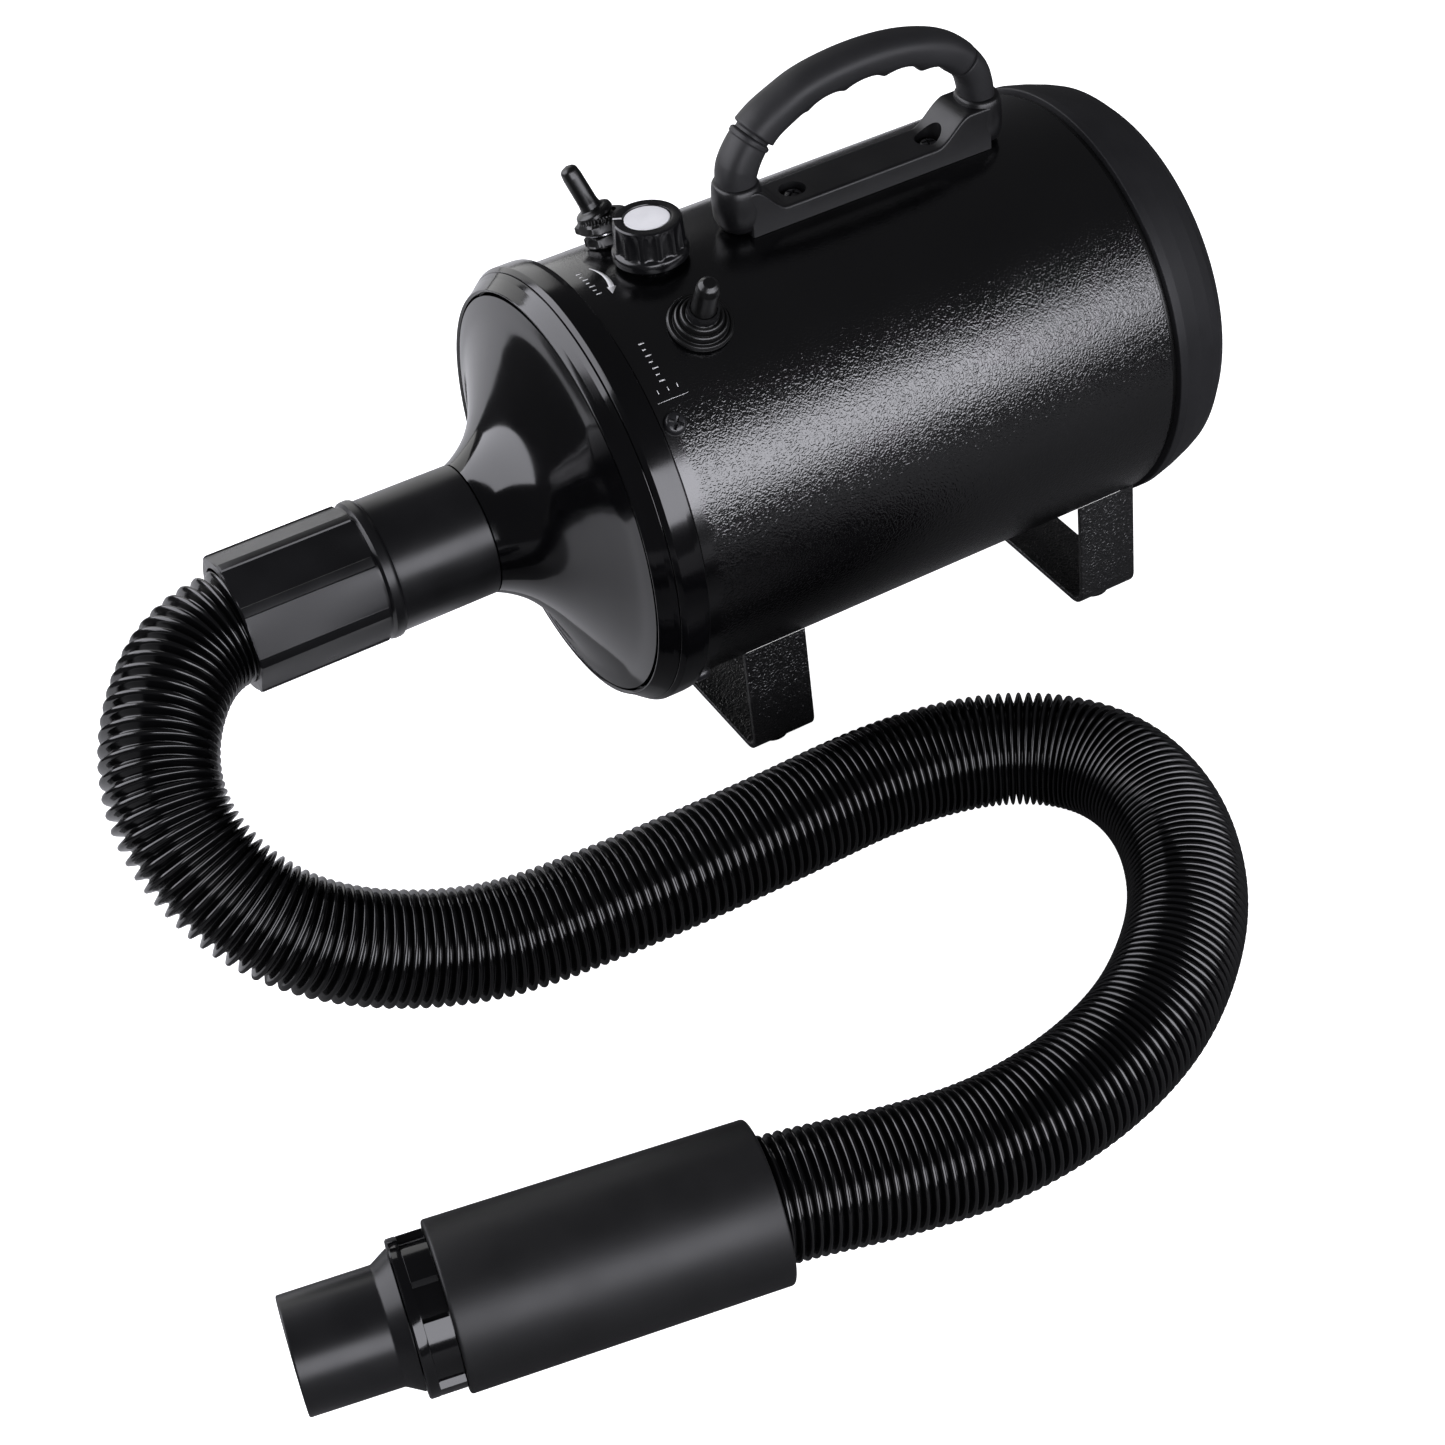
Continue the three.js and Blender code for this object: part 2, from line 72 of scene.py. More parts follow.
# The hose's centre line, from inside its cuff, down to the floor and round into the grip sleeve
HOSE_ROUTE = [
    (0, -170, 110), (0, -195, 110),
    (0, -220.8, 110), (0.8, -229, 109.6), (4.5, -238, 108.6), (10.5, -246, 107), (17.5, -252.3, 105),
    (27.5, -260.6, 100), (39, -266.6, 93), (49, -269.2, 85), (58.5, -268.3, 76), (73, -261.3, 61.5),
    (85, -249.1, 48.5), (92.5, -233.2, 37.5), (98, -214.8, 29), (103.5, -193, 23), (106.5, -176, 20.8),
    (109, -152.9, 20.6), (111, -114, 20.6), (111.6, -74.8, 20.6), (111.3, -32.7, 20.6),
    (115.2, -6, 20.6), (124, 16.5, 20.6), (141.5, 36, 20.6), (161.2, 43.2, 20.6), (185, 41.5, 20.6),
    (207, 33, 20.6), (227, 20, 20.6), (245.5, 0.8, 20.6), (259.5, -20, 20.6), (268.5, -43, 20.6),
    (273.4, -69, 20.6), (273.6, -96, 21), (268.6, -128, 23.5), (260.5, -164.2, 27),
    (248.2, -227.4, 27),
]
# How far apart the hose's ridges are, at distances along it in metres
HOSE_PITCH = [(0, 4.1), (0.06, 4.2), (0.16, 4.2), (0.25, 3.7), (0.36, 3.3), (0.50, 3.0)]
HOSE_END_PITCH = 3.1
RIDGE_STEPS = 8
# The grip's frame: +Y points back along the hose, from the nozzle to the bellows
SLEEVE_START = Vector((260.5, -164.2, 27)) * MM
SLEEVE_TURN = -11

# ------------------------------ helpers


AT_BARREL = Matrix.Translation(BARREL)
UPRIGHT = Matrix.Rotation(math.pi / 2, 4, "X")


def at_azimuth(azimuth, y):
    """The barrel's frame turned so that +Z points out at that azimuth, from the top towards +X."""
    return AT_BARREL @ Matrix.Translation((0, y * MM, 0)) @ Matrix.Rotation(rad(azimuth), 4, "Y")


def new_piece(name, verts, faces, material, body, replaces=(), sharp=35, place=None):
    """A smooth-shaded mesh piece with its material and body, which hides the CAD nodes it stands for."""
    mesh = bpy.data.meshes.new(name)
    mesh.from_pydata([tuple(v) for v in verts], [], faces)
    if place is not None:
        mesh.transform(place)
    mesh.validate()
    mesh.shade_smooth()
    if sharp:
        mesh.set_sharp_from_angle(angle=rad(sharp))
    mesh.materials.append(material)
    piece = bpy.data.objects.new(name, mesh)
    scene.collection.objects.link(piece)
    if body:
        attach(piece, body)
    if replaces:
        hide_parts(*replaces)
    return piece


def fillet(profile, steps=5):
    """A closed outline of (x, y, radius) corners, with each corner rounded to its radius."""
    points = []
    count = len(profile)
    for i, corner in enumerate(profile):
        here = np.array(corner[:2], float)
        radius = corner[2] if len(corner) > 2 else 0
        if not radius:
            points.append(tuple(here))
            continue
        before = np.array(profile[i - 1][:2], float) - here
        after = np.array(profile[(i + 1) % count][:2], float) - here
        reach = min(np.linalg.norm(before), np.linalg.norm(after)) * 0.49
        before /= np.linalg.norm(before)
        after /= np.linalg.norm(after)
        half = math.acos(np.clip(before @ after, -1, 1)) / 2
        cut = min(radius / math.tan(half), reach)
        start, end = here + before * cut, here + after * cut
        for t in np.linspace(0, 1, steps + 1):
            points.append(tuple((1 - t) ** 2 * start + 2 * t * (1 - t) * here + t**2 * end))
    return points


def revolve(profile, segments=160):
    """Vertices and faces of a closed outline (radius, along), in millimetres, turned about +Y."""
    closed = profile[0][0] > AXIS_LIMIT
    angles = np.arange(segments) * 2 * math.pi / segments
    verts, rows = [], []
    for radius, along in profile:
        if radius <= AXIS_LIMIT:
            rows.append([len(verts)] * segments)
            verts.append((0, along * MM, 0))
            continue
        rows.append(list(range(len(verts), len(verts) + segments)))
        verts += [(radius * MM * math.sin(a), along * MM, radius * MM * math.cos(a)) for a in angles]
    faces = []
    pairs = list(zip(rows, rows[1:])) + ([(rows[-1], rows[0])] if closed else [])
    for low, high in pairs:
        for i in range(segments):
            j = (i + 1) % segments
            face = list(dict.fromkeys([low[i], low[j], high[j], high[i]]))
            if len(face) > 2:
                faces.append(face)
    return verts, faces


def lathe(name, profile, material, body, replaces=(), place=AT_BARREL, segments=160, sharp=35):
    """A turned piece from an outline of (radius, along, corner radius), anticlockwise round the material."""
    verts, faces = revolve(fillet(profile), segments)
    return new_piece(name, verts, faces, material, body, replaces, sharp, place)


def ring(inner, outer, start, end, corner):
    """The outline of a plain tube, for lathe()."""
    return [(inner, start, corner), (outer, start, corner), (outer, end, corner), (inner, end, corner)]


def loft(sections, closed_ends=True):
    """Vertices and faces of a skin over sections that all have the same number of points."""
    around = len(sections[0])
    verts = [tuple(p) for section in sections for p in section]
    faces = []
    for row in range(len(sections) - 1):
        a, b = row * around, (row + 1) * around
        for i in range(around):
            j = (i + 1) % around
            faces.append((a + i, a + j, b + j, b + i))
    if closed_ends:
        faces.append(tuple(range(around))[::-1])
        faces.append(tuple(range(len(verts) - around, len(verts))))
    return verts, faces


def polar_piece(name, stations, shape, material, body, replaces, place, around=240, sharp=30):
    """A closed tube of rings about +Y, whose stations run clockwise round the material.

    shape gives the radius in millimetres for each station and angle.
    """
    angles = np.arange(around) * 2 * math.pi / around
    sections = []
    for station in stations:
        radii = [shape(station, a) * MM for a in angles]
        y = station[0] * MM
        sections.append([(r * math.sin(a), y, r * math.cos(a)) for r, a in zip(radii, angles)])
    verts, faces = loft(sections, closed_ends=False)
    last = (len(sections) - 1) * around
    faces += [(last + i, last + (i + 1) % around, (i + 1) % around, i) for i in range(around)]
    faces = [face[::-1] for face in faces]
    return new_piece(name, verts, faces, material, body, replaces, sharp, place)


def repeat_offset(angle, count, first=0.0):
    """How far an angle is from the nearest of count evenly spread ones."""
    span = 2 * math.pi / count
    return (angle - first + span / 2) % span - span / 2


def smooth_path(points, step):
    """Evenly spaced points along a centripetal Catmull-Rom curve through the given ones."""
    points = [np.array(p, float) for p in points]
    points = [2 * points[0] - points[1], *points, 2 * points[-1] - points[-2]]
    dense = []
    for p0, p1, p2, p3 in zip(points, points[1:], points[2:], points[3:]):
        t1 = np.linalg.norm(p1 - p0) ** 0.5
        t2 = t1 + np.linalg.norm(p2 - p1) ** 0.5
        t3 = t2 + np.linalg.norm(p3 - p2) ** 0.5
        for t in np.linspace(t1, t2, 24, endpoint=False):
            a1 = (t1 - t) / t1 * p0 + t / t1 * p1
            a2 = (t2 - t) / (t2 - t1) * p1 + (t - t1) / (t2 - t1) * p2
            a3 = (t3 - t) / (t3 - t2) * p2 + (t - t2) / (t3 - t2) * p3
            b1 = (t2 - t) / t2 * a1 + t / t2 * a2
            b2 = (t3 - t) / (t3 - t1) * a2 + (t - t1) / (t3 - t1) * a3
            dense.append((t2 - t) / (t2 - t1) * b1 + (t - t1) / (t2 - t1) * b2)
    dense.append(points[-2])
    dense = np.array(dense)
    run = np.concatenate([[0], np.cumsum(np.linalg.norm(np.diff(dense, axis=0), axis=1))])
    count = max(2, int(round(run[-1] / step)) + 1)
    wanted = np.linspace(0, run[-1], count)
    return np.stack([np.interp(wanted, run, dense[:, k]) for k in range(3)], axis=1)


def relax(points, rounds):
    """Evens out a path's curvature, with its ends kept."""
    points = points.copy()
    for _ in range(rounds):
        points[1:-1] = (points[:-2] + 2 * points[1:-1] + points[2:]) / 4
    return points


def path_frames(points, first_side):
    """For each point: its tangent, and a side and an up vector that don't twist along the path."""
    tangents = np.gradient(points, axis=0)
    tangents /= np.linalg.norm(tangents, axis=1)[:, None]
    side = np.array(first_side, float)
    frames = []
    for tangent in tangents:
        side = side - tangent * (side @ tangent)
        side /= np.linalg.norm(side)
        frames.append((tangent, side, np.cross(tangent, side)))
    return frames


# ------------------------------ materials


def principled(name, color, roughness, **sockets):
    """A material with a Principled shader, and its node tree's parts."""
    material = bpy.data.materials.new(name)
    material.use_nodes = True
    nodes, links = material.node_tree.nodes, material.node_tree.links
    shader = nodes["Principled BSDF"]
    shader.inputs["Base Color"].default_value = (*color, 1)
    shader.inputs["Roughness"].default_value = roughness
    for socket, value in sockets.items():
        shader.inputs[socket.replace("_", " ")].default_value = value
    return material, nodes, links, shader


def object_noise(nodes, links, scale, detail, stretch=(1, 1, 1)):
    """Noise in the object's own coordinates, in cells per metre."""
    place = nodes.new("ShaderNodeTexCoord")
    mapping = nodes.new("ShaderNodeMapping")
    mapping.inputs["Scale"].default_value = stretch
    noise = nodes.new("ShaderNodeTexNoise")
    noise.inputs["Scale"].default_value = scale
    noise.inputs["Detail"].default_value = detail
    links.new(place.outputs["Object"], mapping.inputs["Vector"])
    links.new(mapping.outputs["Vector"], noise.inputs["Vector"])
    return noise.outputs["Fac"]


def spread(nodes, links, value, low, high, start=0.3, end=0.7):
    """Maps a noise value onto the range low to high."""
    remap = nodes.new("ShaderNodeMapRange")
    remap.inputs["From Min"].default_value = start
    remap.inputs["From Max"].default_value = end
    remap.inputs["To Min"].default_value = low
    remap.inputs["To Max"].default_value = high
    links.new(value, remap.inputs["Value"])
    return remap.outputs["Result"]


def tint(nodes, links, value, dark, light):
    """Mixes two colours by a value."""
    ramp = nodes.new("ShaderNodeValToRGB")
    ramp.color_ramp.elements[0].position = 0.3
    ramp.color_ramp.elements[1].position = 0.7
    ramp.color_ramp.elements[0].color = (*dark, 1)
    ramp.color_ramp.elements[1].color = (*light, 1)
    links.new(value, ramp.inputs["Fac"])
    return ramp.outputs["Color"]


def bump(nodes, links, shader, height, strength, distance):
    """Relief from a height value, at most distance metres deep."""
    node = nodes.new("ShaderNodeBump")
    node.inputs["Strength"].default_value = strength
    node.inputs["Distance"].default_value = distance
    links.new(height, node.inputs["Height"])
    links.new(node.outputs["Normal"], shader.inputs["Normal"])
    return node


def grained(name, color, roughness, grain=2500, depth=0.00003, strength=0.3, vary=0.06, **sockets):
    """A moulded or coated finish: fine grain in the surface, and slow changes in tone and sheen."""
    material, nodes, links, shader = principled(name, color, roughness, **sockets)
    slow = object_noise(nodes, links, 45, 4)
    rough = spread(nodes, links, slow, max(roughness - vary, 0.02), roughness + vary)
    links.new(rough, shader.inputs["Roughness"])
    darker = tuple(c * 0.85 for c in color)
    lighter = tuple(c * 1.15 for c in color)
    links.new(tint(nodes, links, slow, darker, lighter), shader.inputs["Base Color"])
    fine = object_noise(nodes, links, grain, 2)
    bump(nodes, links, shader, fine, strength, depth)
    return material


def hose_material(color):
    """Soft bellows plastic: fine glints, and a dull edge instead of a bright one."""
    material, nodes, links, shader = principled("hose_plastic", color, 0.16)
    slow = object_noise(nodes, links, 45, 4)
    links.new(spread(nodes, links, slow, 0.12, 0.20), shader.inputs["Roughness"])
    links.new(tint(nodes, links, slow, tuple(c * 0.8 for c in color), tuple(c * 1.2 for c in color)),
              shader.inputs["Base Color"])
    facing = nodes.new("ShaderNodeLayerWeight")
    facing.inputs["Blend"].default_value = 0.5
    sheen = spread(nodes, links, facing.outputs["Facing"], 0.55, 0.06, 0.45, 0.85)
    links.new(sheen, shader.inputs["Specular IOR Level"])
    bump(nodes, links, shader, object_noise(nodes, links, 1200, 2), 0.1, 0.00002)
    return material


def crinkle_material(name, roughness, strength):
    """Black crinkle powder coat: short wavy ridges about a millimetre apart."""
    material, nodes, links, shader = principled(name, (0.001, 0.001, 0.0012), roughness)
    shader.inputs["Specular IOR Level"].default_value = 0.9
    slow = object_noise(nodes, links, 30, 3)
    links.new(spread(nodes, links, slow, roughness - 0.025, roughness + 0.025), shader.inputs["Roughness"])
    links.new(tint(nodes, links, slow, (0.0008, 0.0008, 0.0010), (0.0012, 0.0012, 0.0014)),
              shader.inputs["Base Color"])
    waves = object_noise(nodes, links, 680, 1.5)
    centred = nodes.new("ShaderNodeMath")
    centred.operation = "SUBTRACT"
    centred.inputs[1].default_value = 0.5
    links.new(waves, centred.inputs[0])
    folded = nodes.new("ShaderNodeMath")
    folded.operation = "ABSOLUTE"
    links.new(centred.outputs["Value"], folded.inputs[0])
    creases = spread(nodes, links, folded.outputs["Value"], 0, 1, 0, 0.16)
    relief = bump(nodes, links, shader, creases, strength, 0.00016)
    place = nodes.new("ShaderNodeTexCoord")
    split = nodes.new("ShaderNodeSeparateXYZ")
    links.new(place.outputs["Object"], split.inputs["Vector"])
    smoother_top = spread(nodes, links, split.outputs["Z"], strength, strength * 0.2, 0.168, 0.182)
    smoother_front = spread(nodes, links, split.outputs["Y"], 0.1, 1, -0.0725, -0.0690)
    fade = nodes.new("ShaderNodeMath")
    fade.operation = "MULTIPLY"
    links.new(smoother_top, fade.inputs[0])
    links.new(smoother_front, fade.inputs[1])
    links.new(fade.outputs["Value"], relief.inputs["Strength"])
    return material


def brushed(name, color, roughness):
    """Bare metal with fine turned lines."""
    material, nodes, links, shader = principled(name, color, roughness, Metallic=1.0)
    lines = object_noise(nodes, links, 900, 2, stretch=(1, 1, 0.05))
    rough = spread(nodes, links, lines, roughness - 0.08, roughness + 0.12)
    links.new(rough, shader.inputs["Roughness"])
    bump(nodes, links, shader, lines, 0.1, 0.00003)
    return material


def make_materials():
    """Every finish, by the name of its material slot or of the one piece that needs its own."""
    black = (0.0015, 0.0015, 0.0018)
    return {
        "crinkle_coat": crinkle_material("crinkle_coat", 0.18, 0.44),
        "foot_coat": crinkle_material("foot_coat", 0.30, 1.0),
        "gloss_coat": grained("gloss_coat", black, 0.13, 300, 0.00004, 0.08, 0.03),
        "gloss_plastic": grained("gloss_plastic", black, 0.10, 200, 0.00005, 0.05, 0.03),
        "knob_plastic": grained("knob_plastic", (0.004, 0.004, 0.0045), 0.22, 1500, 0.00002, 0.1, 0.03),
        "cuff_plastic": grained("cuff_plastic", (0.005, 0.005, 0.0055), 0.31, 900, 0.00002, 0.12, 0.04,
                                Specular_IOR_Level=0.38),
        "satin_plastic": grained("satin_plastic", (0.006, 0.006, 0.0065), 0.33, 1500),
        "cover_plastic": grained("cover_plastic", (0.012, 0.012, 0.013), 0.5, 1500,
                                 Specular_IOR_Level=0.25),
        "handle_plastic": grained("handle_plastic", (0.005, 0.005, 0.0055), 0.38, 1800,
                                  Specular_IOR_Level=0.4),
        "soft_touch": grained("soft_touch", (0.016, 0.016, 0.017), 0.5, 1400, Specular_IOR_Level=0.3),
        "black_rubber": grained("black_rubber", (0.003, 0.003, 0.003), 0.3, 1500, 0.00002, 0.15),
        "hose_plastic": hose_material((0.002, 0.002, 0.0022)),
        "foam": grained("foam", (0.0042, 0.0042, 0.0045), 0.46, 3200, 0.00005, 0.3, 0.04,
                        Specular_IOR_Level=0.38),
        "black_screw": grained("black_screw", (0.01, 0.01, 0.011), 0.28, 1800),
        "white_mark": grained("white_mark", (0.62, 0.62, 0.62), 0.4, 1500, 0.00001, 0.1),
        "mica": grained("mica", (0.45, 0.38, 0.28), 0.6, 700),
        "circuit_board": grained("circuit_board", (0.02, 0.12, 0.05), 0.4, 900),
        "bright_metal": brushed("bright_metal", (0.72, 0.72, 0.74), 0.18),
        "knob_aluminium": grained("knob_aluminium", (0.93, 0.93, 0.94), 0.35, 900, 0.00002, 0.1,
                                  Metallic=0.1),
        "inner_steel": brushed("inner_steel", (0.42, 0.42, 0.43), 0.4),
        "copper_winding": brushed("copper_winding", (0.55, 0.26, 0.11), 0.4),
        "fan_aluminium": brushed("fan_aluminium", (0.62, 0.62, 0.63), 0.35),
    }


# ------------------------------ stage


COOL, WHITE = (0.93, 0.93, 1.0), (1.0, 1.0, 1.0)
ROOM = (0.075, 0.075, 0.08)

# Name, size, place, target, watts and colour
SOFT_BOXES = [
    ("key", (1.9, 0.70), (1.35, 0.02, 0.54), (0, 0.05, 0.12), 26, COOL),
    ("key_far", (0.9, 0.68), (1.15, 1.35, 0.54), (0, 0.05, 0.12), 5, COOL),
    ("left", (2.0, 1.40), (-0.80, -1.25, 0.98), (0, -0.10, 0.13), 38, COOL),
    ("back", (1.1, 1.2), (-1.6, -0.05, 0.60), (0, -0.05, 0.12), 5, WHITE),
]

# Name, low corner, high corner and grey of each part of the table that reflections see; the two dark greys
# are painted shade
TABLES = [
    ("table_left", (-1.6, -0.46), (-0.15, 0.34), 0.86),
    ("table_near", (-0.15, -0.46), (0.042, -0.120), 0.86),
    # Painted shade: these two patches are dark greys standing in for the shadowed floor under and beside the
    # barrel, as reflections see it
    ("table_under_painted_shade", (-0.15, -0.120), (0.042, 0.34), 0.24),
    ("table_side_painted_shade", (0.042, -0.5), (0.6, 0.34), 0.16),
]


def make_camera():
    """The camera, looking at its target from an azimuth and elevation, with a small roll."""
    azimuth, elevation, roll = (rad(CAMERA[k]) for k in ("azimuth", "elevation", "roll"))
    forward = Vector((-math.sin(azimuth) * math.cos(elevation),
                      math.cos(azimuth) * math.cos(elevation), -math.sin(elevation)))
    level = Vector((math.cos(azimuth), math.sin(azimuth), 0))
    rise = level.cross(forward)
    right = level * math.cos(roll) + rise * math.sin(roll)
    up = rise * math.cos(roll) - level * math.sin(roll)
    data = bpy.data.cameras.new("camera")
    data.lens = CAMERA["lens"]
    data.sensor_width = 36
    data.clip_end = 60
    camera = bpy.data.objects.new("camera", data)
    place = Matrix((right, up, -forward)).transposed().to_4x4()
    place.translation = CAMERA_TARGET - forward * CAMERA["distance"]
    camera.matrix_world = place
    scene.collection.objects.link(camera)
    scene.camera = camera


def soft_box(name, size, place, target, power, color):
    """A rectangular light that faces its target."""
    light = bpy.data.lights.new(name, "AREA")
    light.shape = "RECTANGLE"
    light.size, light.size_y = size
    light.energy = power
    light.color = color
    lamp = bpy.data.objects.new(name, light)
    lamp.location = place
    toward = Vector(target) - Vector(place)
    lamp.rotation_euler = toward.to_track_quat("-Z", "Y").to_euler()
    scene.collection.objects.link(lamp)


def floor_patch(name, low, high, height, grey, glow):
    """A rectangle of floor from one corner to the other, in a grey, with a glow."""
    material, nodes, links, shader = principled(name, (grey, grey, grey), 0.8, Emission_Strength=glow)
    cloud = object_noise(nodes, links, 2, 2)
    low_grey, high_grey = (grey * 0.99,) * 3, (grey * 1.01,) * 3
    links.new(tint(nodes, links, cloud, low_grey, high_grey), shader.inputs["Base Color"])
    shader.inputs["Emission Color"].default_value = (*WHITE, 1)
    corners = [(x, y, height) for x, y in (low, (high[0], low[1]), high, (low[0], high[1]))]
    patch = new_piece(name, corners, [(0, 1, 2, 3)], material, None)
    return patch


def make_world():
    """White behind the object, and a dark room for everything it reflects."""
    world = bpy.data.worlds.new("world")
    world.use_nodes = True
    nodes, links = world.node_tree.nodes, world.node_tree.links
    room = nodes["Background"]
    room.inputs["Color"].default_value = (*ROOM, 1)
    backdrop = nodes.new("ShaderNodeBackground")
    backdrop.inputs["Color"].default_value = (*WHITE, 1)
    seen = nodes.new("ShaderNodeLightPath")
    choice = nodes.new("ShaderNodeMixShader")
    links.new(seen.outputs["Is Camera Ray"], choice.inputs["Fac"])
    links.new(room.outputs["Background"], choice.inputs[1])
    links.new(backdrop.outputs["Background"], choice.inputs[2])
    links.new(choice.outputs["Shader"], nodes["World Output"].inputs["Surface"])
    scene.world = world


def make_stage():
    """A glowing white sheet for the camera, over a small table for reflections with painted shade in its
    darker patches, and soft boxes.
    """
    sheet = floor_patch("floor", (-8, -8), (8, 8), 0, 0.86, 1.0)
    sheet.visible_glossy = False
    sheet.visible_diffuse = False
    sheet.visible_shadow = False
    below_sheet = -0.0005
    for name, low, high, grey in TABLES:
        floor_patch(name, low, high, below_sheet, grey, 0).visible_camera = False
    make_world()
    scene.view_settings.view_transform = "Standard"
    for light in SOFT_BOXES:
        soft_box(*light)


# ------------------------------ hose


def hose_piece(materials):
    """Bellows along the route: rounded crests, and valleys that open on the outside of each bend."""
    path = relax(smooth_path([np.array(p) * MM for p in HOSE_ROUTE], 0.0005), 500)
    step = np.linalg.norm(np.diff(path, axis=0), axis=1)
    run = np.concatenate([[0], np.cumsum(step)])
    knots = np.array([*HOSE_PITCH, (run[-1], HOSE_END_PITCH)])
    pitch = np.interp(run, knots[:, 0], knots[:, 1] * MM)
    phase = np.concatenate([[0], np.cumsum(step / pitch[1:])])
    rings = int(phase[-1]) * RIDGE_STEPS + 1
    wanted = np.arange(rings) / RIDGE_STEPS
    at = np.interp(wanted, phase, run)
    centre = np.stack([np.interp(at, run, path[:, k]) for k in range(3)], axis=1)
    local_pitch = np.interp(at, run, pitch)
    frames = path_frames(centre, (1, 0, 0))
    tangents = np.array([f[0] for f in frames])
    bend = np.gradient(tangents, at, axis=0)
    around = 60
    angles = np.arange(around) * 2 * math.pi / around
    depth = HOSE["radius"] - HOSE["valley"]
    sections = []
    for i in range(rings):
        _, side, up = frames[i]
        wave = 0.5 + 0.5 * math.cos(2 * math.pi * wanted[i])
        section = []
        for a in angles:
            out = side * math.cos(a) + up * math.sin(a)
            stretch = local_pitch[i] * (1 - HOSE["radius"] * (bend[i] @ out)) / MM
            power = np.clip(0.55 + 0.2 * (stretch - 2.5), 0.5, 1.3)
            section.append(centre[i] + out * (HOSE["valley"] + depth * (1 - (1 - wave**power) ** 1.5)))
        sections.append(section)
    inner_at = list(range(0, rings, RIDGE_STEPS * 2))
    if inner_at[-1] != rings - 1:
        inner_at.append(rings - 1)
    for i in reversed(inner_at):
        _, side, up = frames[i]
        sections.append([centre[i] + (side * math.cos(a) + up * math.sin(a)) * HOSE["bore"] for a in angles])
    sections.append(sections[0])
    verts, faces = loft(sections[:-1], closed_ends=False)
    last = len(sections) - 2
    for i in range(around):
        j = (i + 1) % around
        faces.append((last * around + i, last * around + j, j, i))
    piece = new_piece("hose_bellows", verts, faces, materials["hose_plastic"], "hose_line",
                      ["hose"], sharp=0)
    return piece, centre[::RIDGE_STEPS], run[-1]


def cuff_piece(materials):
    """The hose cuff: a smooth socket, a bead, and a grip of eight flats between raised ribs."""

    def radius(station, angle):
        _, r, ribbed = station
        offset = abs(repeat_offset(angle, 8, rad(2)))
        flat = 23.9 / math.cos(math.pi / 8 - offset)
        rib = 25.6 * np.clip((rad(5.2) - offset) / rad(1.0), 0, 1)
        return r + (max(min(flat, 25.6), rib) - r) * ribbed

    stations = [
        (-128.3, 22.3, 0), (-128.3, 24.0, 0), (-128.7, 24.4, 0), (-145, 24.5, 0), (-164.6, 24.6, 0),
        (-165.4, 24.8, 0), (-166.1, 25.5, 0), (-167.0, 25.8, 0), (-168.6, 25.8, 0), (-169.6, 25.6, 0),
        (-170.2, 24.9, 0), (-170.6, 24.4, 0), (-171.0, 24.4, 0.3), (-171.8, 24.4, 1), (-200, 24.4, 1),
        (-219.6, 24.4, 1), (-220.3, 24.4, 0.75), (-220.5, 24.2, 0.4), (-220.5, 21.2, 0), (-219.8, 20.95, 0),
        (-200, 20.9, 0), (-161, 20.9, 0), (-160.6, 22.3, 0),
    ]
    return polar_piece("cuff", stations, radius, materials["cuff_plastic"], "hose_line",
                       ["hose_cuff"], AT_BARREL, 480)


def grip_pieces(materials):
    """The foam sleeve over the hose's far end, the end ring in it, and the nozzle."""
    place = Matrix.Translation(SLEEVE_START) @ Matrix.Rotation(rad(SLEEVE_TURN), 4, "Z")
    sleeve = lathe("sleeve", [(21.5, -104.4, 0.6), (27, -104.4, 1.1), (26.5, -1, 1.1), (21.5, -1, 0.6)],
                   materials["foam"], "hose_line", ["grip_sleeve"], place)
    collar = end_ring_piece(materials, place)
    nozzle = lathe("nozzle_tube", [
        (16.6, -151.8, 0.5), (18.7, -151.8, 0.8), (18.8, -122.3, 2), (22, -116.9, 0.6), (22, -116.7, 0.3),
        (17.2, -116.7, 0.3), (17.2, -96, 0.4), (15.2, -96, 0.4), (15.2, -117, 1), (16.6, -122, 1),
    ], materials["cuff_plastic"], "nozzle_end", ["nozzle"], place)
    return sleeve, collar, nozzle


def end_ring_piece(materials, place):
    """The threaded end ring: a front flange, and behind it a wall with lugs round it."""

    def radius(station, angle):
        _, r, lugged = station
        raised = np.clip((rad(17) - abs(repeat_offset(angle, 6))) / rad(1.2), 0, 1)
        return r + lugged * raised * (24.6 - r)

    stations = [
        (-116.4, 17.5, 0), (-116.4, 22.6, 0), (-116.4, 24.2, 0), (-115.9, 24.7, 0), (-113.3, 24.7, 0),
        (-112.9, 24.5, 0), (-112.8, 22.9, 1), (-112.2, 22.7, 1), (-104.8, 22.7, 1), (-104.7, 21.2, 0),
        (-68.5, 21.2, 0), (-68, 20.8, 0), (-68, 17.5, 0),
    ]
    return polar_piece("grip_collar", stations[::-1], radius, materials["gloss_plastic"], "hose_line",
                       ["end_ring"], place)


# ------------------------------ barrel


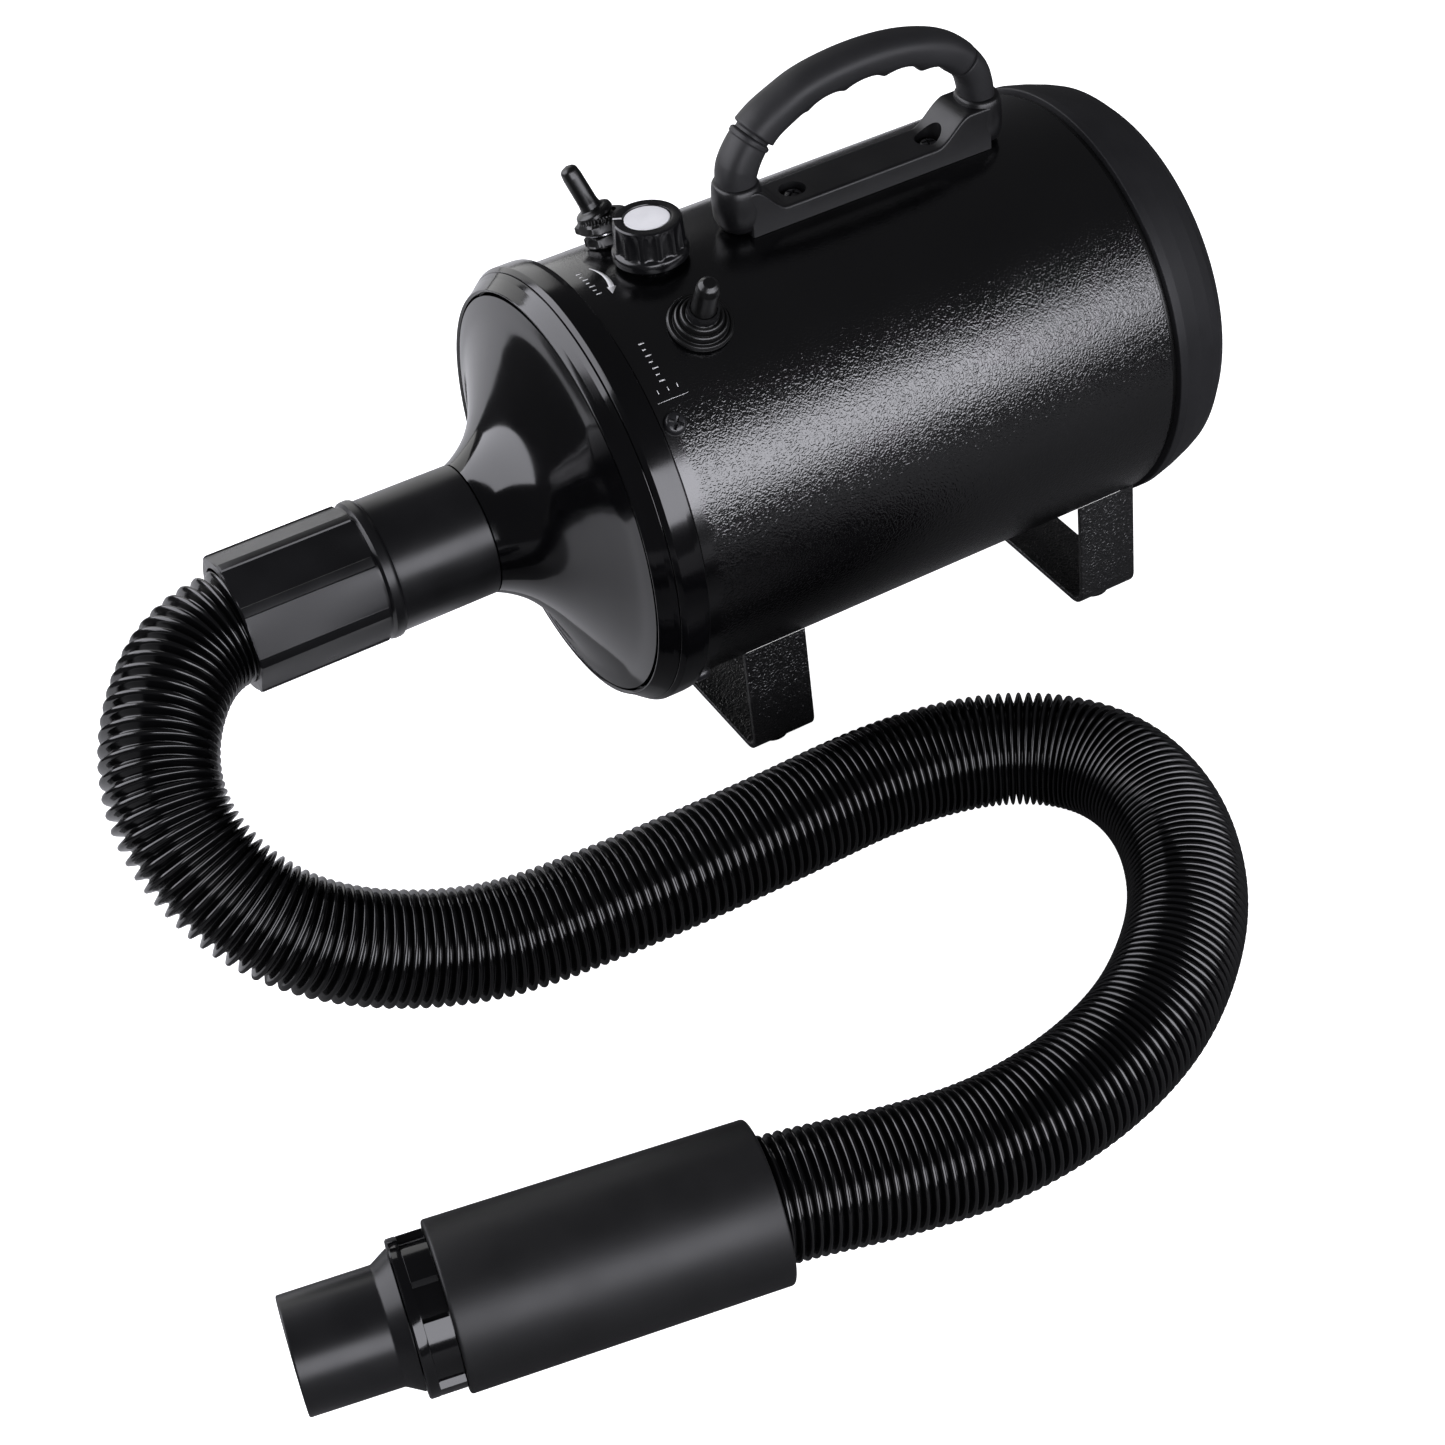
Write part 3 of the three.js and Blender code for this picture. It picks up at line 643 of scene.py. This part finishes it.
def housing_pieces(materials):
    """Everything turned about the barrel's axis, from nose to rear cover, and the four side screws."""
    shell = ring(SHELL_RADIUS - 2, SHELL_RADIUS, -76, 121.7, 0.7)
    lathe("shell", shell, materials["crinkle_coat"], "root", ["body_shell"], segments=288)
    lathe("collar", [
        (75.5, -88, 0.4), (82.0, -88, 0.3), (83.3, -86.2, 1.2), (83.3, -79.4, 2.5), (83.1, -77.2, 0.6),
        (80.5, -76.3, 0.4), (77.6, -76.2, 0.2), (77.6, -64, 0.3), (75.5, -64, 0.3),
    ], materials["gloss_coat"], "root", ["front_collar"], segments=288)
    lathe("bezel", [
        (76.4, -94.0, 0.2), (77.4, -94.8, 0.5), (78.7, -92.6, 2), (80.4, -90, 2), (81.9, -88.2, 0.25),
        (78.3, -88.2, 0.1), (78.3, -90.3, 0.1), (76.4, -90.3, 0.1),
    ], materials["gloss_plastic"], "root", ["bezel_ring"], segments=288)
    trumpet = smooth_path([
        (75.4, -94.4, 0), (72.4, -95.2, 0), (67.8, -96.4, 0), (62.8, -98.2, 0), (58, -100.2, 0),
        (49.8, -104, 0), (42.1, -108.2, 0), (36.4, -112.2, 0), (32, -116.2, 0), (28.2, -121, 0),
        (25.6, -125.4, 0), (24.4, -128, 0),
    ], 1.2)[:, :2]
    inner = [(r - 1.6, y + 1.6) for r, y in trumpet[2:-3]]
    profile = [(78, -90), (76.2, -90), *[tuple(p) for p in trumpet], (22, -128), (22, -158),
               (20, -158), (20, -126), *inner[::-1], (74, -88.4), (78, -88.4)]
    lathe("nose", profile[::-1], materials["gloss_plastic"], "root", ["nose_cone"],
          segments=288, sharp=50)
    lathe("seal", ring(73, 78.6, 121.75, 124, 0.2), materials["black_rubber"], "root",
          ["rear_seal"], segments=200)
    rear_cover_piece(materials)
    for number, azimuth in enumerate((47, 137, 227, 317), 1):
        screw_piece(f"side_screw_head_{number}", at_azimuth(azimuth, -70.8), 4.2, SHELL_RADIUS, 1.7, 72,
                    f"side_screw_{number}", materials, turn=20 + 31 * number)


def rear_cover_piece(materials):
    """The rear cover: a turned rim and a domed grille of curved bars round a hub."""
    rim = [
        (74, 124.05, 0.3), (81.3, 124.05, 0.6), (81.3, 127.6, 1.5), (79.6, 134.5, 4), (77.3, 141.6, 3),
        (75.4, 146.2, 3), (70.5, 151.2, 4), (64, 153.2, 1),
    ]
    inside = [
        (64, 151, 0.5), (69.4, 149.2, 3), (73.2, 145, 3), (75.2, 141, 3), (78.4, 129, 1),
        (78.4, 127.2, 0.4), (74, 126, 0.3),
    ]
    verts, faces = revolve(fillet(rim + inside), 240)

    def dome(radius):
        return 153.2 + 4.6 * (1 - (radius / 64) ** 2)

    blades, rows, columns = 36, 18, 4
    radii = np.linspace(20, 64.4, rows)
    for blade in range(blades):
        start = len(verts)
        middle = 2 * math.pi * blade / blades
        for r in radii:
            swirl = 0.35 * (r - 20) / 44
            half = 1.5 / r
            for k in (-1, 1):
                for lift in (0, -2.4):
                    a = middle + swirl + k * half
                    verts.append((r * MM * math.sin(a), (dome(r) + lift) * MM, r * MM * math.cos(a)))
        for row in range(rows - 1):
            a, b = start + row * columns, start + (row + 1) * columns
            for p, q in ((0, 2), (2, 3), (3, 1), (1, 0)):
                faces.append((a + p, a + q, b + q, b + p))
        end = start + (rows - 1) * columns
        faces.append((start, start + 1, start + 3, start + 2))
        faces.append((end + 2, end + 3, end + 1, end))
    for inner_r, outer_r in ((0, 20.5), (41, 43.4)):
        outline = [(inner_r, dome(inner_r) - 2.5), (outer_r, dome(outer_r) - 2.5),
                   (outer_r, dome(outer_r) + 0.2), (inner_r, dome(inner_r) + 0.2)]
        more, more_faces = revolve(outline, 160)
        base = len(verts)
        verts += more
        faces += [[i + base for i in face] for face in more_faces]
    new_piece("cover", verts, faces, materials["cover_plastic"], "rear_cap",
              ["rear_cover"], 40, AT_BARREL)


def screw_piece(name, place, head, seat, shank, tip, node, materials, turn):
    """A pan-head screw along +Z with a cross recess pressed into its head."""
    around, rows = 96, 22
    radii = [head * MM * math.sin(0.5 * math.pi * k / rows) for k in range(1, rows + 1)]
    height = 0.62 * head
    verts = [(0, 0, (seat + height - 1.5) * MM)]
    for radius in radii:
        for i in range(around):
            a = 2 * math.pi * i / around
            x, y = radius * math.cos(a), radius * math.sin(a)
            share = radius / (head * MM)
            z = seat + height * (1 - share**4) ** 0.5
            arm = min(abs(x), abs(y)) / MM
            reach = max(abs(x), abs(y)) / MM
            if arm < 0.52 and reach < 0.62 * head:
                z = seat + height - 1.5 + 0.5 * (reach / (0.62 * head)) ** 2
            verts.append((x, y, z * MM))
    faces = [(0, 1 + i, 1 + (i + 1) % around) for i in range(around)]
    for row in range(rows - 1):
        for i in range(around):
            j = (i + 1) % around
            a, b = 1 + row * around, 1 + (row + 1) * around
            faces.append((a + i, b + i, b + j, a + j))
    rim = 1 + (rows - 1) * around
    base = len(verts)
    for radius, z in ((shank, seat), (shank, tip)):
        verts += [(radius * MM * math.cos(2 * math.pi * i / around),
                   radius * MM * math.sin(2 * math.pi * i / around), z * MM) for i in range(around)]
    for i in range(around):
        j = (i + 1) % around
        faces.append((rim + i, base + i, base + j, rim + j))
        faces.append((base + i, base + around + i, base + around + j, base + j))
    faces.append(tuple(base + around + i for i in range(around))[::-1])
    spin = place @ Matrix.Rotation(rad(turn), 4, "Z")
    new_piece(name, verts, faces, materials["black_screw"], "root", [node], 35, spin)


def gland_piece(materials):
    """The mains lead's gland: a hexagon foot and a domed, grooved cap."""
    place = at_azimuth(-125, 112) @ UPRIGHT

    def radius(station, angle):
        _, r, hexed, grooved = station
        flat = r * math.cos(math.pi / 6) / math.cos(repeat_offset(angle, 6))
        groove = 0.5 * max(0, math.cos(12 * angle)) ** 4
        return r + (flat - r) * hexed - groove * grooved

    stations = [
        (71, 3.6, 0, 0), (71, 5.8, 0, 0), (80.6, 5.8, 0, 0), (80.6, 9.6, 0, 0), (81, 10, 1, 0),
        (84.6, 10, 1, 0), (85, 9.6, 0.6, 0), (85.1, 8.6, 0, 0), (85.7, 8.7, 0, 0.5), (86.2, 8.7, 0, 1),
        (91, 8.2, 0, 1), (92.4, 7.6, 0, 0.6), (93.4, 6.4, 0, 0), (94, 5, 0, 0), (94, 3.7, 0, 0),
        (93.6, 3.6, 0, 0),
    ]
    polar_piece("gland", stations[::-1], radius, materials["satin_plastic"], "root",
                ["mains_gland"], place, 144)


# ------------------------------ feet


def foot_pieces(materials):
    """Each foot is one bent strip, cut to the barrel and welded to it, on two rubber bumpers."""
    top_x, bottom_x, top_z, bend, bottom = 54, 55.5, 52, 6, 4
    for place, low, high in (("front", -52, -26), ("rear", 97.5, 122.5)):
        line = [(top_x, top_z), (bottom_x, bottom + bend)]
        for a in np.linspace(0, math.pi / 2, 9)[1:]:
            line.append((bottom_x - bend + bend * math.cos(a), bottom + bend - bend * math.sin(a)))
        line += [(0, bottom)] + [(-x, z) for x, z in line[::-1]]
        line = np.array(line)
        along = np.gradient(line, axis=0)
        along /= np.linalg.norm(along, axis=1)[:, None]
        outward = np.stack([-along[:, 1], along[:, 0]], axis=1)
        half, thick, edge = (high - low) / 2, 1, 0.4
        section = fillet([(-half, -thick, edge), (half, -thick, edge), (half, thick, edge),
                          (-half, thick, edge)], 3)
        rows = []
        for index, (point, out) in enumerate(zip(line, outward)):
            row = []
            for across, depth in section:
                x, z = point + out * depth
                if index in (0, len(line) - 1):
                    z = BARREL_HEIGHT - math.sqrt((SHELL_RADIUS + 0.1) ** 2 - x * x)
                row.append((x * MM, ((low + high) / 2 + across) * MM, z * MM))
            rows.append(row)
        verts, faces = loft(rows)
        faces = [face[::-1] for face in faces]
        new_piece(f"foot_{place}", verts, faces, materials["foot_coat"], "root",
                  [f"foot_bracket_{place}"], 50)
        for side, sign in (("left", -1), ("right", 1)):
            seat = Matrix.Translation((sign * 45 * MM, (low + high) / 2 * MM, 0)) @ UPRIGHT
            profile = [(0, 0), (5.4, 0, 0.6), (6.5, 0.9, 0.8), (6.5, 2.7, 0.2), (0, 2.7)]
            lathe(f"bumper_{place}_{side}", profile, materials["black_rubber"], "root",
                  [f"foot_bumper_{place}_{side}"], seat, 48)


# ------------------------------ handle

HANDLE_ARCH = [
    (-9.2, 204.5), (-8.6, 212), (-4.6, 219.5), (2.2, 226.4), (10.7, 231), (20.8, 234.9), (41.2, 237.3),
    (61.6, 235.5), (77.8, 229.4), (88.2, 219), (91.4, 206.5),
]


def handle_stretch(name, node, start, end, sizes, materials, scallops=0.0, steps=90):
    """One stretch of the arch. sizes are (share of the arch, half width, half thickness)."""
    arch = smooth_path([(0, y, z) for y, z in HANDLE_ARCH], 0.25)
    shares = np.linspace(start, end, steps)
    at = shares * (len(arch) - 1)
    points = np.stack([np.interp(at, np.arange(len(arch)), arch[:, k]) for k in range(3)], axis=1)
    frames = path_frames(points, (1, 0, 0))
    table = np.array(sizes)
    rows = []
    for share, point, (_, side, inward) in zip(shares, points, frames):
        width = np.interp(share, table[:, 0], table[:, 1])
        thick = np.interp(share, table[:, 0], table[:, 2])
        fade = np.clip((share - 0.27) / 0.06, 0, 1) * np.clip((0.83 - share) / 0.05, 0, 1)
        wave = scallops * fade * (abs(math.sin(math.pi * (share - 0.315) / 0.135)) - 0.62)
        row = []
        for a in np.arange(48) * 2 * math.pi / 48:
            c, v = math.cos(a), math.sin(a)
            x = width * abs(c) ** 0.84 * np.sign(c)
            y = (thick - wave * max(v, 0) ** 2) * abs(v) ** 0.84 * np.sign(v)
            row.append(tuple((point + side * x + inward * y) * MM))
        rows.append(row)
    verts, faces = loft(rows)
    new_piece(name, verts, faces, materials["soft_touch"], "root", [node], 60)


def handle_pieces(materials):
    """The arch in three stretches, and the rail with its two caps and two screws."""
    handle_stretch("post_front", "handle_post_front", 0, 0.157, [
        (0, 7.2, 6.4), (0.02, 7.6, 6.7), (0.07, 8.1, 6.9), (0.125, 7.9, 6.6), (0.140, 7.8, 6.5),
        (0.143, 8.2, 6.9), (0.153, 8.2, 6.9), (0.157, 7.4, 6.1),
    ], materials)
    handle_stretch("grip", "handle_grip", 0.158, 0.861, [
        (0.158, 7.0, 5.8), (0.166, 7.0, 5.8), (0.168, 8.2, 6.9), (0.170, 8.6, 7.2), (0.19, 8.5, 7.0),
        (0.3, 8.2, 6.6), (0.6, 8.1, 6.6), (0.8, 8.0, 6.6), (0.852, 7.9, 6.4), (0.857, 7.6, 6.2),
        (0.861, 6.9, 5.6),
    ], materials, scallops=2.8, steps=260)
    handle_stretch("post_rear", "handle_post_rear", 0.863, 1, [
        (0.863, 7.0, 5.6), (0.866, 7.6, 6.1), (0.9, 7.6, 6.1), (0.96, 7.5, 6.0), (1, 7.2, 5.8),
    ], materials)
    rail_piece(materials)
    cap_piece("rail_cap_front", -9.2, 8.6, materials)
    cap_piece("rail_cap_rear", 91.4, 8.1, materials)
    for number, y in enumerate(RAIL_SCREWS_Y, 1):
        screw_piece(f"rail_screw_{number}", Matrix.Translation((0, y * MM, 0)), 3.8, 193.3, 1.8, 182.5,
                    f"handle_screw_{number}", materials, turn=35 * number)


def cap_piece(name, middle, half, materials):
    """A round upright cap over one end of the rail, where a post is plugged in."""
    rows = []
    for z, share in ((189.6, 0.3), (190.3, 0.62), (191.8, 0.84), (194.6, 0.97), (199.5, 1), (205.2, 0.97),
                     (207.2, 0.93), (207.9, 0.89), (208.2, 0.84)):
        row = []
        for a in np.arange(64) * 2 * math.pi / 64:
            c, v = math.cos(a), math.sin(a)
            x = 9.8 * share * abs(c) ** 0.9 * np.sign(c)
            y = middle + half * share * abs(v) ** 0.9 * np.sign(v)
            row.append((x * MM, y * MM, z * MM))
        rows.append(row)
    verts, faces = loft(rows)
    new_piece(name, verts, faces, materials["handle_plastic"], "root", sharp=50)


def rail_height(y):
    """The rail's top edge: flat between two scoops that rise to the posts' sockets."""
    front, rear = (t * t * (3 - 2 * t) for t in np.clip([(6 - y) / 13, (y - 68) / 15], 0, 1))
    return 197 + 9.8 * front + 9.2 * rear


def rail_piece(materials):
    """The handle's rail: a bar between two caps that sits on the barrel, with two screw pockets."""
    front, rear, half, edge = -9.1, 91.3, 9.5, 1.1
    rows = []
    for y in [front, front + 0.5, *np.linspace(front + 1, rear - 1, 150), rear - 0.5, rear]:
        width = half - 0.6 * (y in (front, rear))
        top = rail_height(y)
        row = []
        for x in np.linspace(-width, width, 15):
            row.append((x, BARREL_HEIGHT + math.sqrt((SHELL_RADIUS + 0.15) ** 2 - x * x)))
        for a in np.linspace(0, math.pi / 2, 6):
            row.append((width - edge + edge * math.cos(a), top - edge + edge * math.sin(a)))
        for x in np.linspace(width - edge, -width + edge, 25)[1:-1]:
            row.append((x, top))
        for a in np.linspace(math.pi / 2, math.pi, 6):
            row.append((-width + edge + edge * math.cos(a), top - edge + edge * math.sin(a)))
        rows.append([(x * MM, y * MM, z * MM) for x, z in row])
    verts, faces = loft(rows)
    rail = new_piece("rail", verts, [f[::-1] for f in faces], materials["handle_plastic"], None)
    cutters = []
    for y in RAIL_SCREWS_Y:
        for radius, low, high in ((5.0, 193, 215), (2.4, 180, 194)):
            around = [(radius * MM * math.cos(a), y * MM + radius * MM * math.sin(a))
                      for a in np.arange(48) * 2 * math.pi / 48]
            sections = [[(x, v, z * MM) for x, v in around] for z in (low, high)]
            more, more_faces = loft(sections)
            name = f"pocket_{y}_{low}"
            cutters.append(new_piece(name, more, more_faces, materials["handle_plastic"], None))
    for cutter in cutters:
        modifier = rail.modifiers.new("pocket", "BOOLEAN")
        modifier.object = cutter
        modifier.operation = "DIFFERENCE"
        modifier.solver = "EXACT"
    bpy.context.view_layer.update()
    result = bpy.data.meshes.new_from_object(rail.evaluated_get(bpy.context.evaluated_depsgraph_get()))
    rail.modifiers.clear()
    rail.data = result
    for cutter in cutters:
        bpy.data.objects.remove(cutter)
    result.set_sharp_from_angle(angle=rad(38))
    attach(rail, "root")
    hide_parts("handle_rail")


# ------------------------------ controls


def knob_pieces(materials):
    """The speed knob: a skirt, thirteen hollow flutes, a disc sunk in its top, and a pointer line."""
    place = Matrix.Translation((0, KNOB_Y * MM, 0)) @ UPRIGHT

    def radius(station, angle):
        _, r, fluted = station
        across = abs(repeat_offset(angle, 13, rad(9))) / (math.pi / 13)
        hollow = np.clip(1 - (across / 0.78) ** 2, 0, 1)
        return r - fluted * 0.75 * hollow

    stations = [
        (191.8, 7.2, 0), (191.8, 12.8, 0), (192.3, 13.4, 0), (193.8, 13.65, 0), (195.2, 13.55, 0),
        (195.8, 13.2, 0), (196.2, 12.8, 0.2), (196.6, 12.65, 0.7), (197.2, 12.6, 1), (201.5, 12.4, 1),
        (204.8, 12.25, 1), (205.8, 12.2, 0.45), (206.5, 12.0, 0), (207, 11.5, 0), (207, 9.2, 0),
        (206.9, 8.6, 0), (206.4, 8.4, 0),
        (206.1, 8.35, 0), (206.0, 0.1, 0), (202.4, 0.1, 0), (202.4, 3.3, 0), (195.4, 3.3, 0), (195.4, 7.2, 0),
    ]
    polar_piece("knob", stations[::-1], radius, materials["knob_plastic"], "knob",
                ["speed_knob"], place, 336, 28)
    disc = [(0, 206.1), (8.15, 206.1, 0.1), (8.1, 206.5, 0.15), (7.8, 206.65, 0.3), (0, 206.55)]
    lathe("knob_disc", disc, materials["knob_aluminium"], "knob", ["knob_cap"], place, 120)
    turn = Matrix.Translation((0, KNOB_Y * MM, 0)) @ Matrix.Rotation(rad(-31), 4, "Z")
    outline = fillet([(-0.42, -11.9, 0.2), (0.42, -11.9, 0.2), (0.42, -8.7, 0.2), (-0.42, -8.7, 0.2)], 3)
    rows = [[(x * MM, y * MM, z * MM) for x, y in outline] for z in (206.95, 207.08)]
    verts, faces = loft(rows)
    new_piece("pointer", verts, faces, materials["white_mark"], "knob", ["knob_pointer"],
              30, turn)


def boot_piece(name, place, profile, lean, pivot, node, materials):
    """A rubber boot over a toggle lever, leaned by a fixed angle about the lever's pivot."""
    verts, faces = revolve(fillet(profile, 6), 72)
    leaned = place @ Matrix.Translation((0, pivot * MM, 0)) @ Matrix.Rotation(rad(lean), 4, "X")
    leaned = leaned @ Matrix.Translation((0, -pivot * MM, 0))
    boot = new_piece(name, verts, faces, materials["black_rubber"], None, [node],
                     50, leaned)
    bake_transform(boot)


def heat_toggle(materials):
    """The upright toggle: a stepped rubber base with a smooth boot on it."""
    place = at_azimuth(26, -46) @ UPRIGHT
    lathe("heat_boot_base", [
        (5.6, 80.6), (11.6, 80.6, 0.4), (11.8, 81.8, 0.5), (11.2, 82.8, 0.5), (10.4, 82.7, 0.4),
        (10.1, 82.2, 0.3), (9.6, 82.4, 0.3), (9.4, 84.6, 0.7), (8.7, 85.2, 0.5), (8.2, 84.6, 0.3),
        (7.9, 84.4, 0.2), (7.6, 86.8, 0.6), (6.9, 87.3, 0.5), (6.3, 86.8, 0.3), (5.6, 86.4, 0.2),
    ], materials["black_rubber"], "root", ["heat_boot_nut"], place, 144)
    boot_piece("heat_boot", place, [
        (2.2, 85.4, 0.2), (6.2, 85.4, 0.4), (6.0, 86.7, 1.0), (4.6, 88.0, 1.4), (4.4, 92, 2), (4.3, 98.4, 1),
        (4.3, 101.0, 2), (3.7, 103.4, 1.6), (2.1, 104.7, 1.2), (0, 105.0), (0, 102.6), (2.2, 102.4, 0.6),
    ], 0, 80, "heat_lever_sleeve", materials)


def power_toggle(materials):
    """The leaning toggle: two hexagon nuts with a bright washer between them, and a ringed boot."""
    place = at_azimuth(-18.3, -48.7) @ UPRIGHT

    def nut(station, angle):
        _, r, hexed, ribbed = station
        flat = r * math.cos(math.pi / 6) / math.cos(repeat_offset(angle, 6, rad(12)))
        rib = 0.35 * math.cos(44 * angle)
        return r + (flat - r) * hexed + rib * ribbed

    lower = [
        (80.6, 6.1, 0, 0), (80.6, 7.8, 0, 0), (81.0, 8.4, 1, 0), (83.6, 8.4, 1, 0), (84.1, 7.8, 0.5, 0),
        (84.3, 7.2, 0, 0), (84.3, 6.1, 0, 0),
    ]
    polar_piece("power_lock_nut", lower[::-1], nut, materials["black_rubber"], "root",
                ["power_switch_nut"], place, 180)
    lathe("power_washer", [(6.1, 84.6, 0.1), (7.6, 84.6, 0.25), (7.6, 85.5, 0.25), (6.1, 85.5, 0.1)],
          materials["bright_metal"], "root", ["power_switch_washer"], place, 96)
    upper = [
        (85.6, 5.6, 0, 0), (85.6, 9.2, 0, 0), (86.0, 10.2, 0.6, 0), (86.5, 10.6, 1, 0), (88.4, 10.6, 1, 0),
        (89.1, 9.8, 0.7, 0), (89.4, 9.0, 0, 0.4), (89.6, 8.7, 0, 1), (90.9, 8.6, 0, 1), (91.3, 8.0, 0, 0.3),
        (91.5, 6.8, 0, 0), (91.5, 5.6, 0, 0),
    ]
    polar_piece("power_boot_nut_hex", upper[::-1], nut, materials["black_rubber"], "root",
                ["power_boot_nut"], place, 360)
    boot_piece("power_boot", place, [
        (2.2, 90.6, 0.2), (6.2, 90.6, 0.6), (7.0, 91.9, 1.0), (6.7, 93.6, 1.0), (5.2, 94.3, 0.6),
        (4.0, 94.7, 0.8), (3.6, 97, 2), (3.5, 107.8, 2), (3.1, 111.0, 2.0), (0, 112.2), (0, 109.2),
        (2.2, 109, 0.6),
    ], 17, 84, "power_lever_sleeve", materials)


def printed_marks(materials):
    """Printed signs by the controls: a swelling arrow, two rows of strokes, three dots and a line."""
    lift = (SHELL_RADIUS + 0.06) * MM

    def on_shell(azimuth, y):
        a = rad(azimuth)
        return (lift * math.sin(a), y * MM, BARREL.z + lift * math.cos(a))

    def flat_mark(name, outline):
        """A thin printed patch from (azimuth, y) corners, as a strip of pairs."""
        verts = [on_shell(*corner) for pair in outline for corner in pair]
        faces = [(2 * i, 2 * i + 1, 2 * i + 3, 2 * i + 2) for i in range(len(outline) - 1)]
        mark = new_piece(name, verts, faces, materials["white_mark"], None)
        thick = mark.modifiers.new("ink", "SOLIDIFY")
        thick.thickness = 0.00005
        thick.offset = 1
        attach(mark, "root")

    def arc(azimuth):
        return -63.0 - 0.045 * (azimuth + 0.2) ** 2

    pairs = []
    for azimuth in np.linspace(-6.4, 4.8, 20):
        half = 0.2 + 0.075 * (azimuth + 6.4)
        pairs.append([(azimuth, arc(azimuth) - half), (azimuth, arc(azimuth) + half)])
    flat_mark("mark_arrow", pairs)
    tip = (7.2, arc(7.2) - 0.1)
    flat_mark("mark_arrow_head", [[(4.3, arc(4.6) - 1.6), (4.9, arc(4.6) + 1.6)], [tip, tip]])
    for group, first, low in (("air", -5.6, -70.6), ("heat", 24.9, -69.2)):
        for number in range(7):
            start = first + 1.82 * number
            tall = 2.1 if number % 2 == 0 else 1.4
            flat_mark(f"mark_{group}_{number}", [[(start, low), (start, low + tall)],
                                                 [(start + 0.32, low), (start + 0.32, low + tall)]])
    for number, y in enumerate((-71.6, -67.7, -64.1)):
        flat_mark(f"mark_level_{number}", [[(37.8, y), (37.8, y + 0.3)], [(38.9, y), (38.9, y + 0.3)]])
    flat_mark("mark_bracket", [[(41.0, -73.3), (41.0, -61.5)], [(41.12, -73.3), (41.12, -61.5)]])


# ------------------------------ start

make_camera()
materials = make_materials()
make_stage()
hose, hose_path, hose_length = hose_piece(materials)
cuff = cuff_piece(materials)
sleeve, collar, nozzle = grip_pieces(materials)
housing_pieces(materials)
gland_piece(materials)
foot_pieces(materials)
handle_pieces(materials)
knob_pieces(materials)
heat_toggle(materials)
power_toggle(materials)
printed_marks(materials)

slots = {row["node"]: row["material_slot"] for row in frame["record"]["subparts"]}
for name, node in frame["nodes"].items():
    node.data.materials.clear()
    node.data.materials.append(materials[slots[name]])
